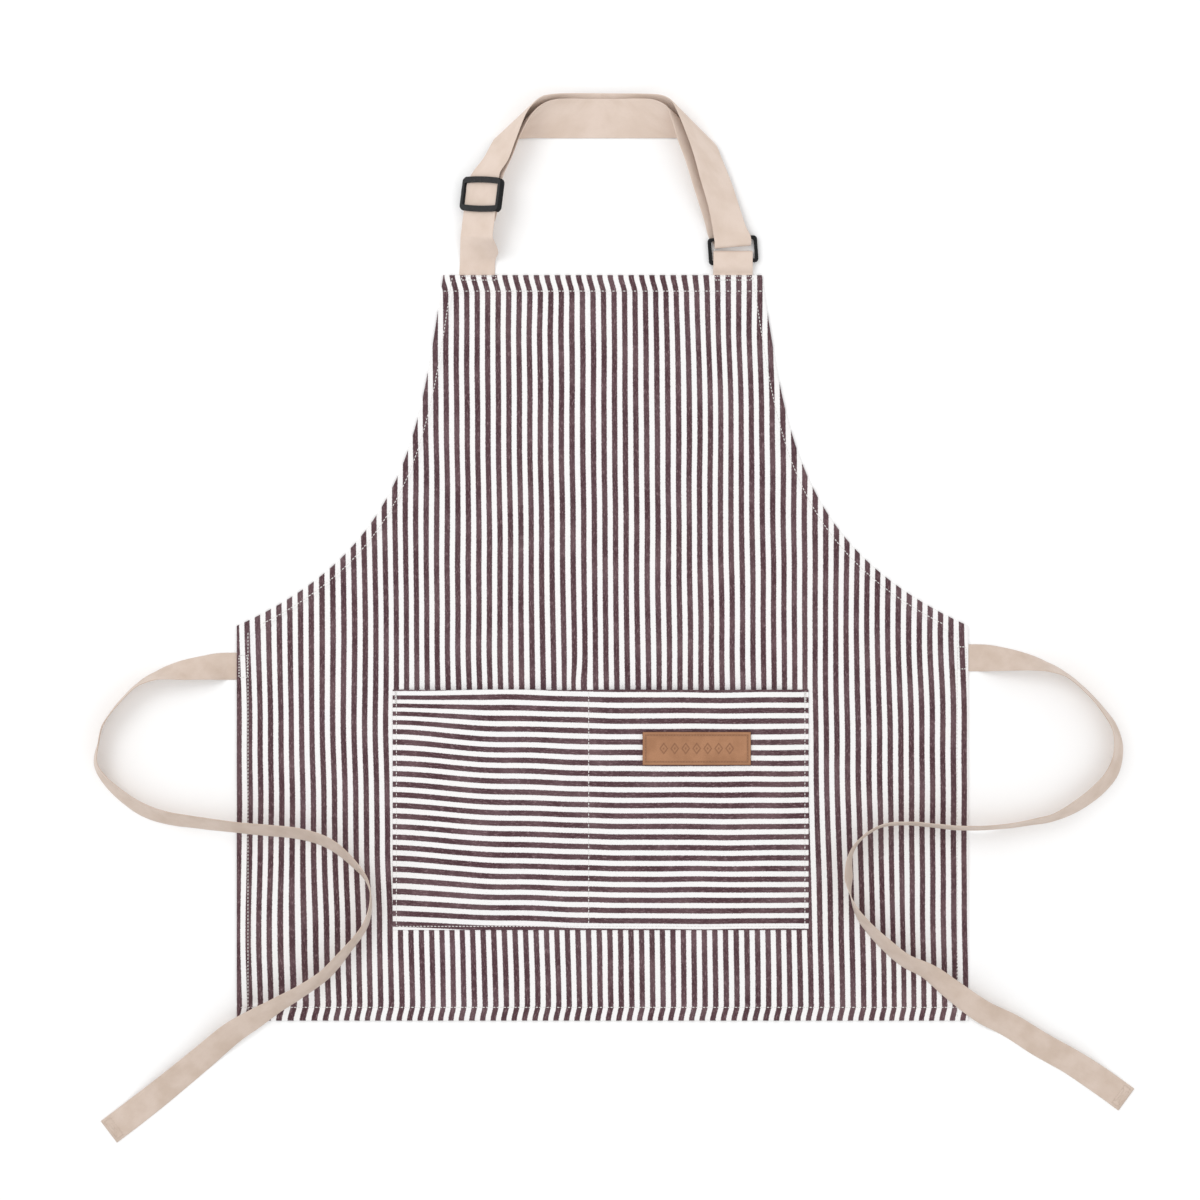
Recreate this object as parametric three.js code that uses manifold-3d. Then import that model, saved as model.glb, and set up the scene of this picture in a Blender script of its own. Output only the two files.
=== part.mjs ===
// Bib apron laid flat on its back: striped cotton panel with a divided pocket, an adjustable neck strap
// and two waist ties. Millimetres, +Z up, +Y towards the neck strap, the panel's back on Z = 0.
import * as THREE from "three";
import { mergeVertices } from "three/addons/utils/BufferGeometryUtils.js";
import Module from "manifold-3d";

const wasm = await Module();
wasm.setup();

// Driving dimensions.
const clearance = 0.3;            // between pieces that lie on or beside each other
const clothThickness = 0.8;
const hemThickness = 3;           // three plies and their slack
const skirtWidth = 680;
const bibWidth = 296;
const panelLength = 693;
const bibLength = 326;            // from the bib's top edge down to the waist corners
const neckReach = 169;            // from the bib's top edge to the strap's furthest edge
const topHemDepth = 16.5;
const bottomHemDepth = 14;
const sideHemDepth = 12;
const armholeHemDepth = 10;
const stitchToFold = 1.5;         // stitch line to the hem's inner fold

const pocketWidth = 386.5;
const pocketDepth = 223.4;
const pocketAboveHem = 84.3;      // pocket's lower edge above the panel's
const pocketOffset = -1.8;        // pocket's centre, right of the panel's
const pocketGape = 4.8;           // free height inside a lying pocket
const pocketMargin = 5;           // cloth that is sewn down round the pocket
const pocketSlope = 20;           // over which the cloth rises to its full gape
const dividerOffset = -12.9;
const dividerSeamWidth = 4;

const labelWidth = 100.6;
const labelHeight = 30.8;
const labelThickness = 1.4;
const labelOffset = 87.3;         // label's centre, right of the panel's
const labelBelowMouth = 54.4;     // label's centre below the pocket's mouth
const labelStitchInset = 3;

const webbingWidth = 36.5;
const webbingThickness = 1;
const strapRootX = -115;
const rootTuck = 13.5;            // length of webbing sewn behind the bib
const tabX = 121.1;
const tabSlack = 0.15;            // between the tab's two sewn layers
const tabReach = 22.5;            // ring tab's fold, above the bib's top edge

const sliderSideRail = 2.8;
const sliderLength = 33;
const sliderBar = 4;              // width of the end bars along the strap
const sliderCentreBar = 5;
const sliderBarThickness = 1.8;
const sliderLean = 7;             // degrees, in plan
const sliderRoll = 34;            // degrees, inner side up
const sliderX = -111;
const sliderAboveBib = 72.5;
const sliderFreeRun = 20;         // how far the slider can run down the strap

const ringPlay = 3.1;             // the ring's opening, wider than the webbing
const ringLength = 24.8;
const ringBar = 3.2;
const ringThickness = 3;
const ringTurn = 4;               // degrees, in plan
const ringAboveBib = 22.9;
const ringLift = 2.9;

const tieWidth = 25;
const tieThickness = 0.8;
const tieTuck = 13;               // length of tape sewn behind a side hem
const leftTieBelowWaist = 37.6;   // tie's middle below the waist corner
const rightTieBelowWaist = 29.8;

const threadWidth = 0.8;
const threadThickness = 0.3;

// Places that follow from them.
const half = (value) => value / 2;
const ringWidth = webbingWidth + ringPlay + 2 * ringBar;
const strapTopY = half(panelLength + neckReach);
const bottomY = -strapTopY;
const bibTopY = bottomY + panelLength;
const waistY = bibTopY - bibLength;
const leftTieY = waistY - leftTieBelowWaist;
const rightTieY = waistY - rightTieBelowWaist;
const pocketBottomY = bottomY + pocketAboveHem;
const mouthY = pocketBottomY + pocketDepth;
const pocketSeamZ = clothThickness + clearance;
const pocketTopZ = clothThickness + pocketGape + clothThickness;
const hemThreadZ = hemThickness + clearance;

const colours = {
  stripedCotton: [0xa99a9b, 0.92],
  webbing: [0xe6d3c6, 0.85],
  tape: [0xd7c2b2, 0.88],
  leather: [0xb4845f, 0.6],
  plastic: [0x141414, 0.38],
  whiteThread: [0xf3efec, 0.8],
  tanThread: [0x9a6a46, 0.75],
  beigeThread: [0xe2cfc0, 0.8],
};

const apron = new THREE.Group();

function add(name, geometry, finish, parent = apron) {
  const [color, roughness] = colours[finish];
  const mesh = new THREE.Mesh(geometry, new THREE.MeshStandardMaterial({ color, roughness, metalness: 0 }));
  mesh.name = name;
  parent.add(mesh);
  return mesh;
}

// Booleans.
function solidFrom(geometry) {
  const bare = geometry.clone();
  bare.deleteAttribute("normal");
  bare.deleteAttribute("uv");
  const merged = mergeVertices(bare, 1e-4);
  return new wasm.Manifold(new wasm.Mesh({
    numProp: 3,
    vertProperties: merged.attributes.position.array,
    triVerts: new Uint32Array(merged.index.array),
  }));
}

function geometryFrom(solid) {
  const mesh = solid.getMesh();
  const geometry = new THREE.BufferGeometry();
  geometry.setAttribute("position", new THREE.BufferAttribute(mesh.vertProperties, 3));
  geometry.setIndex(new THREE.BufferAttribute(mesh.triVerts, 1));
  return geometry;
}

function block(low, high) {
  const size = high.map((value, i) => value - low[i]);
  const box = new THREE.BoxGeometry(...size);
  return box.translate(...low.map((value, i) => value + half(size[i])));
}

function plate(points, lowZ, highZ, holes = []) {
  const shape = new THREE.Shape(points);
  for (const hole of holes) shape.holes.push(new THREE.Path(hole));
  const geometry = new THREE.ExtrudeGeometry(shape, { depth: highZ - lowZ, bevelEnabled: false });
  return geometry.translate(0, 0, lowZ);
}

function rectangle(width, height, x = 0, y = 0) {
  return [[-1, -1], [1, -1], [1, 1], [-1, 1]].map(
    ([sx, sy]) => new THREE.Vector2(x + sx * half(width), y + sy * half(height)));
}

// A closed run of stitching: a thin flat frame.
function stitchFrame(width, height, x, y, z) {
  const inside = rectangle(width - 2 * threadWidth, height - 2 * threadWidth, x, y);
  return plate(rectangle(width, height, x, y), z, z + threadThickness, [inside]);
}

const ribbonColumns = 4;

// A strip between two edge curves: a box whose length follows them and whose width joins them.
function ribbon(edgeA, edgeB, steps, thickness) {
  const geometry = new THREE.BoxGeometry(1, 1, 1, steps, ribbonColumns, 1);
  const position = geometry.attributes.position;
  for (let i = 0; i < position.count; i++) {
    const t = THREE.MathUtils.clamp(position.getX(i) + 0.5, 0, 1);
    const [a, b] = [edgeA.getPoint(t), edgeB.getPoint(t)];
    for (const point of [a, b]) point.z = Math.max(point.z, half(thickness) + 0.05);
    const along = edgeA.getTangent(t).add(edgeB.getTangent(t)).normalize();
    const face = b.clone().sub(a).cross(along).normalize();
    const point = b.lerp(a, position.getY(i) + 0.5).addScaledVector(face, position.getZ(i) * thickness);
    position.setXYZ(i, point.x, point.y, point.z);
  }
  return geometry;
}

// Panel. The armhole is one curve from the bib's corner to the waist corner.
const armhole = new THREE.CubicBezierCurve(
  new THREE.Vector2(half(bibWidth), bibTopY),
  new THREE.Vector2(half(bibWidth) + 22, bibTopY - 0.436 * bibLength),
  new THREE.Vector2(half(bibWidth) + 30, bibTopY - 0.779 * bibLength),
  new THREE.Vector2(half(skirtWidth), waistY));
const armholeSteps = 24;

// Right-hand armhole points, moved into the cloth and kept inside the top and side insets.
function armholeInset(inset, topInset, sideInset) {
  const points = [];
  for (let i = 0; i <= armholeSteps; i++) {
    const point = armhole.getPoint(i / armholeSteps);
    const tangent = armhole.getTangent(i / armholeSteps);
    point.add(new THREE.Vector2(tangent.y, -tangent.x).multiplyScalar(inset));
    if (point.y < bibTopY - topInset - 1 && point.x < half(skirtWidth) - sideInset - 1) points.push(point);
  }
  const first = points[0];
  const last = points[points.length - 1];
  const slope = armhole.getTangent(1);
  const sideX = half(skirtWidth) - sideInset;
  points.unshift(new THREE.Vector2(first.x - 0.5, bibTopY - topInset));
  points.push(new THREE.Vector2(sideX, last.y + (slope.y / slope.x) * (sideX - last.x)));
  return points;
}

function panelOutline(top, bottom, side, armholeDepth) {
  const right = armholeInset(armholeDepth, top, side);
  const corner = new THREE.Vector2(half(skirtWidth) - side, bottomY + bottom);
  const rightSide = [corner, ...right.slice().reverse()];
  const leftSide = rightSide.map((p) => new THREE.Vector2(-p.x, p.y)).reverse();
  return [...rightSide, ...leftSide];
}

function apronPanel() {
  let panel = solidFrom(plate(panelOutline(0, 0, 0, 0), 0, hemThickness));
  const field = panelOutline(topHemDepth, bottomHemDepth, sideHemDepth, armholeHemDepth);
  panel = panel.subtract(solidFrom(plate(field, clothThickness, hemThickness + 1)));
  const tucks = [
    [strapRootX, webbingWidth, webbingThickness],
    [tabX, webbingWidth, 2 * webbingThickness + tabSlack],
  ];
  for (const [x, width, depth] of tucks) {
    const reach = half(width) + clearance + 0.7;
    const low = [x - reach, bibTopY - rootTuck - clearance, -1];
    panel = panel.subtract(solidFrom(block(low, [x + reach, bibTopY + 1, depth + clearance])));
  }
  for (const [side, y] of [[-1, leftTieY], [1, rightTieY]]) {
    const inner = side * (half(skirtWidth) - tieTuck - clearance);
    const outer = side * (half(skirtWidth) + 1);
    const reach = half(tieWidth) + clearance;
    const low = [Math.min(inner, outer), y - reach, -1];
    const high = [Math.max(inner, outer), y + reach, tieThickness + 2 * clearance];
    panel = panel.subtract(solidFrom(block(low, high)));
  }
  return geometryFrom(panel);
}

function hemStitch(name, points) {
  const outline = [];
  const back = [];
  points.forEach((point, i) => {
    const ahead = points[Math.min(i + 1, points.length - 1)];
    const behind = points[Math.max(i - 1, 0)];
    const normal = new THREE.Vector2(behind.y - ahead.y, ahead.x - behind.x).setLength(half(threadWidth));
    outline.push(point.clone().add(normal));
    back.unshift(point.clone().sub(normal));
  });
  add(name, plate([...outline, ...back], hemThreadZ, hemThreadZ + threadThickness), "whiteThread");
}

function hemStitching() {
  const topY = bibTopY - topHemDepth + stitchToFold;
  const lowY = bottomY + bottomHemDepth - stitchToFold;
  const sideX = half(skirtWidth) - sideHemDepth + stitchToFold;
  const line = (x1, y1, x2, y2) => [new THREE.Vector2(x1, y1), new THREE.Vector2(x2, y2)];
  const gap = 3;
  const curve = armholeInset(armholeHemDepth - stitchToFold, gap, gap);
  const cornerX = curve[0].x - gap;
  const cornerY = curve[curve.length - 1].y - gap;
  hemStitch("bib_hem_stitching", line(-cornerX, topY, cornerX, topY));
  hemStitch("bottom_hem_stitching", line(gap - half(skirtWidth), lowY, half(skirtWidth) - gap, lowY));
  hemStitch("left_side_hem_stitching", line(-sideX, lowY + gap, -sideX, cornerY - gap));
  hemStitch("right_side_hem_stitching", line(sideX, lowY + gap, sideX, cornerY - gap));
  hemStitch("left_armhole_stitching", curve.map((p) => new THREE.Vector2(-p.x, p.y)));
  hemStitch("right_armhole_stitching", curve);
}

// Pocket. The cloth is the space between two humped solids, the inner one a cloth's thickness lower.
function humps(drop, overrun) {
  const seamZ = pocketSeamZ + clothThickness - drop;
  const topZ = pocketTopZ - drop;
  const baseZ = pocketSeamZ - overrun;
  const left = pocketOffset - half(pocketWidth);
  const right = pocketOffset + half(pocketWidth);
  const seam = half(dividerSeamWidth);
  const across = [
    [left - overrun, baseZ], [right + overrun, baseZ], [right + overrun, seamZ],
    [right - pocketMargin, seamZ], [right - pocketMargin - pocketSlope, topZ],
    [dividerOffset + seam + pocketSlope, topZ], [dividerOffset + seam, seamZ],
    [dividerOffset - seam, seamZ], [dividerOffset - seam - pocketSlope, topZ],
    [left + pocketMargin + pocketSlope, topZ], [left + pocketMargin, seamZ], [left - overrun, seamZ],
  ];
  const upwards = [
    [pocketBottomY - overrun, baseZ], [mouthY + overrun, baseZ], [mouthY + overrun, topZ],
    [pocketBottomY + pocketMargin + pocketSlope, topZ], [pocketBottomY + pocketMargin, seamZ],
    [pocketBottomY - overrun, seamZ],
  ];
  const toVectors = (pairs) => pairs.map(([u, z]) => new THREE.Vector2(u, z));
  const reach = 2 * pocketWidth;
  const acrossSolid = plate(toVectors(across), -reach, reach).rotateX(half(Math.PI));
  const upwardsSolid = plate(toVectors(upwards), -reach, reach).rotateX(half(Math.PI)).rotateZ(half(Math.PI));
  return solidFrom(acrossSolid).intersect(solidFrom(upwardsSolid));
}

function pocket() {
  add("pocket_panel", geometryFrom(humps(0, 0).subtract(humps(clothThickness, 1))), "stripedCotton");
  const z = pocketSeamZ + clothThickness + clearance;
  const inset = 3;
  const outer = half(pocketWidth) - inset;
  const inner = outer - threadWidth;
  const lowY = pocketBottomY + inset;
  const topY = mouthY - inset;
  const cup = [[-outer, topY], [-outer, lowY], [outer, lowY], [outer, topY],
    [inner, topY], [inner, lowY + threadWidth], [-inner, lowY + threadWidth], [-inner, topY]];
  const vectors = cup.map(([x, y]) => new THREE.Vector2(x + pocketOffset, y));
  add("pocket_edge_stitching", plate(vectors, z, z + threadThickness), "whiteThread");
  const dividerLength = pocketDepth - 3 * inset;
  const divider = rectangle(threadWidth, dividerLength, dividerOffset, mouthY - inset - half(dividerLength));
  add("pocket_divider_stitching", plate(divider, z, z + threadThickness), "whiteThread");
  const tackZ = z + threadThickness + clearance;
  for (const [name, side] of [["left_pocket_tack", -1], ["right_pocket_tack", 1]]) {
    const tack = rectangle(3, 11, pocketOffset + side * (half(pocketWidth) - 2.5), mouthY - 7);
    add(name, plate(tack, tackZ, tackZ + 2 * threadThickness), "whiteThread");
  }
}

function label() {
  const y = mouthY - labelBelowMouth;
  const z = pocketTopZ + clearance;
  const top = z + labelThickness + clearance;
  add("leather_label", plate(rectangle(labelWidth, labelHeight, labelOffset, y), z, z + labelThickness), "leather");
  const width = labelWidth - 2 * labelStitchInset;
  const height = labelHeight - 2 * labelStitchInset;
  add("label_stitching", stitchFrame(width, height, labelOffset, y, top), "tanThread");
}

// Slider. Its own frame: x across the strap, y along it, z out of its face.
const sliderInner = webbingWidth + 1.5;
const sliderWidth = sliderInner + 2 * sliderSideRail;
const loopLowerZ = -3.4;                                     // strap's end layer under the centre bar
const loopUpperZ = -0.1;                                     // and back over it
const strapOverZ = loopUpperZ + webbingThickness + clearance + 0.1;
const endBarZ = strapOverZ + half(webbingThickness) + clearance + 0.2;
const centreBarZ = half(loopLowerZ + loopUpperZ) - half(sliderBarThickness);
const sliderHighZ = endBarZ + sliderBarThickness;
const sliderFrame = new THREE.Group();
const lowestCorner = half(sliderWidth) * Math.sin(THREE.MathUtils.degToRad(sliderRoll))
  - centreBarZ * Math.cos(THREE.MathUtils.degToRad(sliderRoll));
const looseEndDrop = 3;           // room for the strap's own loop below the slider
sliderFrame.position.set(sliderX, bibTopY + sliderAboveBib, lowestCorner + looseEndDrop);
sliderFrame.rotation.order = "ZYX";
sliderFrame.rotation.set(0, THREE.MathUtils.degToRad(-sliderRoll), THREE.MathUtils.degToRad(-sliderLean));
sliderFrame.updateMatrix();
apron.add(sliderFrame);

function slider() {
  const bar = (length, y, z) => block(
    [-half(sliderWidth), y - half(length), z], [half(sliderWidth), y + half(length), z + sliderBarThickness]);
  const rail = (side) => {
    const x = side * (half(sliderInner) + half(sliderSideRail));
    const low = [x - half(sliderSideRail), -half(sliderLength), centreBarZ];
    return block(low, [x + half(sliderSideRail), half(sliderLength), sliderHighZ]);
  };
  let solid = solidFrom(rail(-1)).add(solidFrom(rail(1)));
  const endY = half(sliderLength - sliderBar);
  for (const y of [-endY, endY]) solid = solid.add(solidFrom(bar(sliderBar, y, endBarZ)));
  solid = solid.add(solidFrom(bar(sliderCentreBar, 0, centreBarZ)));
  const radius = 5;
  const corners = new THREE.Shape();
  const x = half(sliderWidth);
  const y = half(sliderLength);
  corners.absarc(x - radius, y - radius, radius, 0, half(Math.PI));
  corners.absarc(radius - x, y - radius, radius, half(Math.PI), Math.PI);
  corners.absarc(radius - x, radius - y, radius, Math.PI, 1.5 * Math.PI);
  corners.absarc(x - radius, radius - y, radius, 1.5 * Math.PI, 2 * Math.PI);
  const trim = new THREE.ExtrudeGeometry(corners, { depth: 20, bevelEnabled: false, curveSegments: 5 });
  solid = solid.intersect(solidFrom(trim.translate(0, 0, -10)));
  add("strap_slider", geometryFrom(solid), "plastic", sliderFrame);
}

// Neck strap: pairs of edge points, outer then inner, along the strap from its root behind the bib,
// up through the slider, round the neck, round the ring and back under itself to the slider's bar.
function strapStations() {
  const inSlider = (across, along, out) =>
    new THREE.Vector3(across, along, out).applyMatrix4(sliderFrame.matrix);
  const pair = (along, out, left = half(webbingWidth), right = half(webbingWidth)) =>
    [inSlider(-left, along, out), inSlider(right, along, out)];
  const at = (ax, ay, az, bx, by, bz) =>
    [new THREE.Vector3(ax, bibTopY + ay, az), new THREE.Vector3(bx, bibTopY + by, bz)];
  const rootZ = half(webbingThickness) + 0.05;
  const rootLeft = strapRootX - half(webbingWidth);
  const rootRight = strapRootX + half(webbingWidth) - 2;
  const lowEnd = -half(sliderLength) - sliderFreeRun;
  const loopTurn = -half(sliderCentreBar) - sliderFreeRun - 2;
  const loopMidZ = half(loopLowerZ + loopUpperZ);
  const ringEndY = ringAboveBib + 1.6;
  const turn = 3.9;
  const turnZ = rootZ + turn;
  const outer = tabX + half(webbingWidth) - 1.6;
  const inner = tabX - half(webbingWidth) + 1.05;
  return [
    at(rootLeft, -rootTuck, rootZ, rootRight, -rootTuck, rootZ),
    at(rootLeft, 0, rootZ, rootRight, 0, rootZ),
    at(rootLeft + 0.6, 10, 0.9, rootRight + 0.8, 10, 2.6),
    at(rootLeft + 1, 21, 3.2, rootRight + 1.6, 20, 12),
    pair(lowEnd - 3, strapOverZ),
    pair(lowEnd, strapOverZ),
    pair(lowEnd + 4, strapOverZ),
    pair(half(lowEnd), strapOverZ),
    pair(0, strapOverZ),
    pair(10, strapOverZ),
    pair(20, strapOverZ, 13.5, 17.5),
    at(-108, 109, 10, -86, 104, 31),
    at(-103, 121, 6.5, -78, 126, 31),
    at(-101.5, 124, 5.2, -68, 152.5, 29),
    // Soft fold over the left corner: the inner edge climbs on to the band's far edge.
    at(-101.6, 124.6, 3.6, -57, 164.5, 25.5),
    at(-98, 126, 1, -48, 168, 19),
    at(-86, 130, 0.6, -32, 168.7, 12),
    at(-55, 132.2, 0.6, -12, 168.9, 8.5),
    at(0, 132.2, 0.6, 0, 168.9, 8),
    at(58, 132.2, 0.6, 18, 168.9, 8.5),
    at(90, 130, 0.6, 38, 168.7, 12),
    at(102, 124, 1, 54, 167.5, 19),
    at(106, 119.5, 3.6, 64, 162.5, 25.5),
    at(107.5, 116, 5.2, 70.5, 150, 27),
    at(110, 109, 6, 76.5, 130, 27),
    at(115, 97, 6.5, 83, 111, 26),
    at(121, 81, 6.5, 90.5, 85, 24),
    at(128, 59, 7.5, 97.5, 62, 19),
    at(133.5, 43, 8.4, 101.5, 44, 12),
    at(outer - 0.7, 33, 8.6, inner - 0.7, 33, 8.8),
    // Round the ring's upper bar.
    at(outer, ringEndY + 4, turnZ + turn, inner, ringEndY + 4, turnZ + turn),
    at(outer, ringEndY, turnZ + turn * 0.75, inner, ringEndY, turnZ + turn * 0.75),
    at(outer, ringEndY - 0.8, turnZ, inner, ringEndY - 0.8, turnZ),
    at(outer, ringEndY, turnZ - turn * 0.75, inner, ringEndY, turnZ - turn * 0.75),
    at(outer - 0.7, ringEndY + 4, rootZ, inner - 1.1, ringEndY + 4, rootZ),
    at(135.5, 37, rootZ, 99.2, 34, rootZ),
    at(129, 52, rootZ, 94.2, 50, 4.5),
    at(119.5, 75, rootZ, 85.5, 78, 12),
    at(111, 97, 0.8, 77.5, 103, 17),
    at(105, 111, 1.6, 69.5, 124, 19.5),
    at(101.5, 117, 2.8, 62.5, 143, 20.5),
    at(99, 120.5, 2.9, 57, 154.5, 20),
    at(93, 124.5, 2.2, 47, 161.5, 18),
    at(72, 127.2, 1.4, 32, 163.6, 14.5),
    at(45, 127.4, 0.8, 16, 163.8, 12),
    at(0, 127.4, 0.8, 0, 163.8, 11.5),
    at(-45, 127.4, 0.8, -14, 163.8, 12),
    at(-70, 127.2, 1.4, -28, 163.6, 14.5),
    at(-88, 125, 2.2, -42, 161.5, 18),
    at(-94.5, 121.5, 2.9, -52, 155.5, 21),
    at(-96.5, 118.5, 2.9, -59.5, 148, 22.5),
    at(-99, 113, 3.2, -70, 129, 24),
    at(-103, 103, 4, -79, 107, 24.5),
    // Under the slider's centre bar, and back over it to where it is sewn down.
    pair(17, loopLowerZ, 15.5, 18.25),
    pair(8, loopLowerZ),
    pair(half(loopTurn), loopLowerZ),
    pair(loopTurn + 1.5, loopLowerZ),
    pair(loopTurn, loopMidZ),
    pair(loopTurn + 1.5, loopUpperZ),
    pair(half(loopTurn), loopUpperZ),
    pair(4, loopUpperZ),
    pair(9, loopUpperZ),
  ];
}

function neckStrap() {
  const stations = strapStations();
  const edge = (side) => new THREE.CatmullRomCurve3(stations.map((pair) => pair[side]));
  add("neck_strap", ribbon(edge(0), edge(1), 3 * (stations.length - 1), webbingThickness), "webbing");
  const z = hemThreadZ;
  const rows = 4.3;
  for (const [name, x, width] of [["strap_root_stitching", strapRootX, 32], ["tab_root_stitching", tabX, 34]])
    add(name, stitchFrame(width, rows, x, bibTopY - 2.7, z), "whiteThread");
}

// Ring and its tab.
function ringTab() {
  const x = (side) => tabX + side * half(webbingWidth);
  const low = half(webbingThickness) + 0.05;
  const upper = low + webbingThickness + tabSlack;
  const over = ringLift + half(ringThickness) + half(webbingThickness) + 0.5;
  const profile = [
    [-rootTuck, low], [0, low], [tabReach - 6, low], [tabReach - 2, low + 0.6], [tabReach - 0.5, half(over + low)],
    [tabReach - 2, over - 0.4], [tabReach - 6, over], [7.5, over], [4.6, over - 1.2], [1.5, upper + 0.1],
    [0, upper], [-rootTuck, upper],
  ];
  const edge = (side) => new THREE.CatmullRomCurve3(
    profile.map(([y, z]) => new THREE.Vector3(x(side), bibTopY + y, z)));
  add("ring_tab", ribbon(edge(-1), edge(1), 4 * (profile.length - 1), webbingThickness), "webbing");
}

function ring() {
  const radius = 5;
  const x = half(ringWidth);
  const y = half(ringLength);
  const outline = new THREE.Shape();
  outline.absarc(x - radius, y - radius, radius, 0, half(Math.PI));
  outline.absarc(radius - x, y - radius, radius, half(Math.PI), Math.PI);
  outline.absarc(radius - x, radius - y, radius, Math.PI, 1.5 * Math.PI);
  outline.absarc(x - radius, radius - y, radius, 1.5 * Math.PI, 2 * Math.PI);
  outline.holes.push(new THREE.Path(rectangle(ringWidth - 2 * ringBar, ringLength - 2 * ringBar).reverse()));
  const geometry = new THREE.ExtrudeGeometry(outline, { depth: ringThickness, bevelEnabled: false, curveSegments: 5 });
  const mesh = add("strap_ring", geometry.translate(0, 0, -half(ringThickness)), "plastic");
  mesh.position.set(tabX, bibTopY + ringAboveBib, ringLift);
  mesh.rotation.z = THREE.MathUtils.degToRad(ringTurn);
}

// Waist ties. Each route starts behind a side hem. Its points are steps outwards from the panel's side
// and up from the tie's root, with the tape's roll in degrees: 0 flat, 90 on its edge, 180 turned over.
const tuckedPoints = 2;           // first points of a route, which pass under the hem
class TapePath extends THREE.Curve {
  constructor(route) {
    super();
    this.rolls = route.map((point) => point[2]);
    this.plan = new THREE.CatmullRomCurve3(route.map(
      ([x, y], i) => new THREE.Vector3(x, y, i < tuckedPoints ? 0 : heightUnder(x, y))));
  }
  roll(t) {
    const place = t * (this.rolls.length - 1);
    const i = Math.min(Math.floor(place), this.rolls.length - 2);
    return THREE.MathUtils.degToRad(THREE.MathUtils.lerp(this.rolls[i], this.rolls[i + 1], place - i));
  }
  getPoint(t, target = new THREE.Vector3()) {
    const roll = this.roll(t);
    this.plan.getPoint(t, target);
    target.z += half(tieWidth) * Math.abs(Math.sin(roll)) + half(tieThickness) * Math.abs(Math.cos(roll)) + 0.2;
    return target;
  }
  computeFrenetFrames(segments) {
    const frames = { tangents: [], normals: [], binormals: [] };
    for (let i = 0; i <= segments; i++) {
      const t = this.getUtoTmapping(i / segments);
      const roll = this.roll(t);
      const tangent = this.getTangent(t);
      const level = new THREE.Vector3(-tangent.y, tangent.x, 0).normalize();
      const normal = level.multiplyScalar(Math.cos(roll)).add(new THREE.Vector3(0, 0, Math.sin(roll)));
      normal.addScaledVector(tangent, -normal.dot(tangent)).normalize();
      frames.tangents.push(tangent);
      frames.normals.push(normal);
      frames.binormals.push(tangent.clone().cross(normal));
    }
    return frames;
  }
}

const onHem = hemThickness + 2 * clearance;
const onField = clothThickness + clearance;
const tapeReach = 16;             // the tape leaves a hem this far before it lies on what is below

function heightUnder(x, y) {
  const fromSide = half(skirtWidth) - Math.abs(x);
  const fromBottom = y - bottomY;
  if (fromSide < -tapeReach || fromBottom < -tapeReach) return 0;
  if (fromSide > sideHemDepth + tapeReach && fromBottom > bottomHemDepth + tapeReach) return onField;
  return onHem;
}

function placeRoute(side, rootY, steps) {
  const root = [[-tieTuck, 0, 0], ...steps];
  return root.map(([out, up, roll]) => [side * (half(skirtWidth) + out), rootY + up, roll]);
}

const leftRoute = placeRoute(-1, leftTieY, [
    [10, 0, 0], [26, -0.9, 24], [48, -3.4, 36], [73, -8.4, 66], [91, -17.4, 80], [110, -36.4, 84],
    [122, -53.4, 84], [127, -72.4, 84], [129, -90.4, 80], [121, -104.4, 75], [104, -120.4, 67],
    [86, -132.4, 62], [64, -139.9, 63], [38, -143.9, 63], [12, -146.9, 63], [-10, -149.4, 62],
    [-30, -151.4, 61], [-61, -154.9, 61], [-86.5, -163.4, 62], [-108, -180.4, 68], [-122, -197.9, 78],
    [-125.5, -218.4, 90], [-120, -240.4, 101], [-100.5, -265.9, 110], [-83, -285.4, 116],
    [-59.5, -301.4, 121], [-36, -314.9, 129], [-15, -327.9, 143], [3, -339.4, 150], [31.5, -363.4, 158],
    [63, -389.4, 165], [94, -413.9, 178], [119, -432.9, 180],
]);
const rightRoute = placeRoute(1, rightTieY, [
    [10, 0, 0], [26, -0.7, -26], [45.5, -2.7, -45], [70.5, -7.7, -70], [88.5, -15.2, -80],
    [107.5, -30.7, -79], [123.5, -48.7, -76], [134, -65.2, -70], [137.5, -84.7, -61],
    [132, -106.2, -54], [118, -122.7, -54], [99, -136.7, -59], [78, -147.2, -68], [56.5, -151.7, -73],
    [35, -155.2, -76], [12, -156.7, -77], [-12, -156.7, -77], [-34, -154.7, -79], [-58, -152.7, -79],
    [-82, -155.2, -79], [-100, -166.2, -79], [-110.5, -181.2, -76], [-112.5, -203.2, -68],
    [-109, -224.2, -90], [-99.5, -242.2, -107], [-79, -264.2, -118], [-59.5, -280.2, -123],
    [-38, -290.7, -130], [-15, -308.2, -143], [12, -327.7, -152], [39, -341.7, -158],
    [67, -359.2, -163], [95.5, -375.2, -164], [123.5, -393.7, -178], [147, -410.7, -180],
]);

const tapeSection = () => {
  const edge = half(tieWidth) - 0.3;
  const columns = [1, 0.5, 0, -0.5, -1].map((share) => share * edge);
  const face = (side) => columns.map((x) => new THREE.Vector2(side * x, side * half(tieThickness)));
  const selvedge = (side) => new THREE.Vector2(side * half(tieWidth), 0);
  return new THREE.Shape([...face(1), selvedge(-1), ...face(-1), selvedge(1)]);
};

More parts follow.
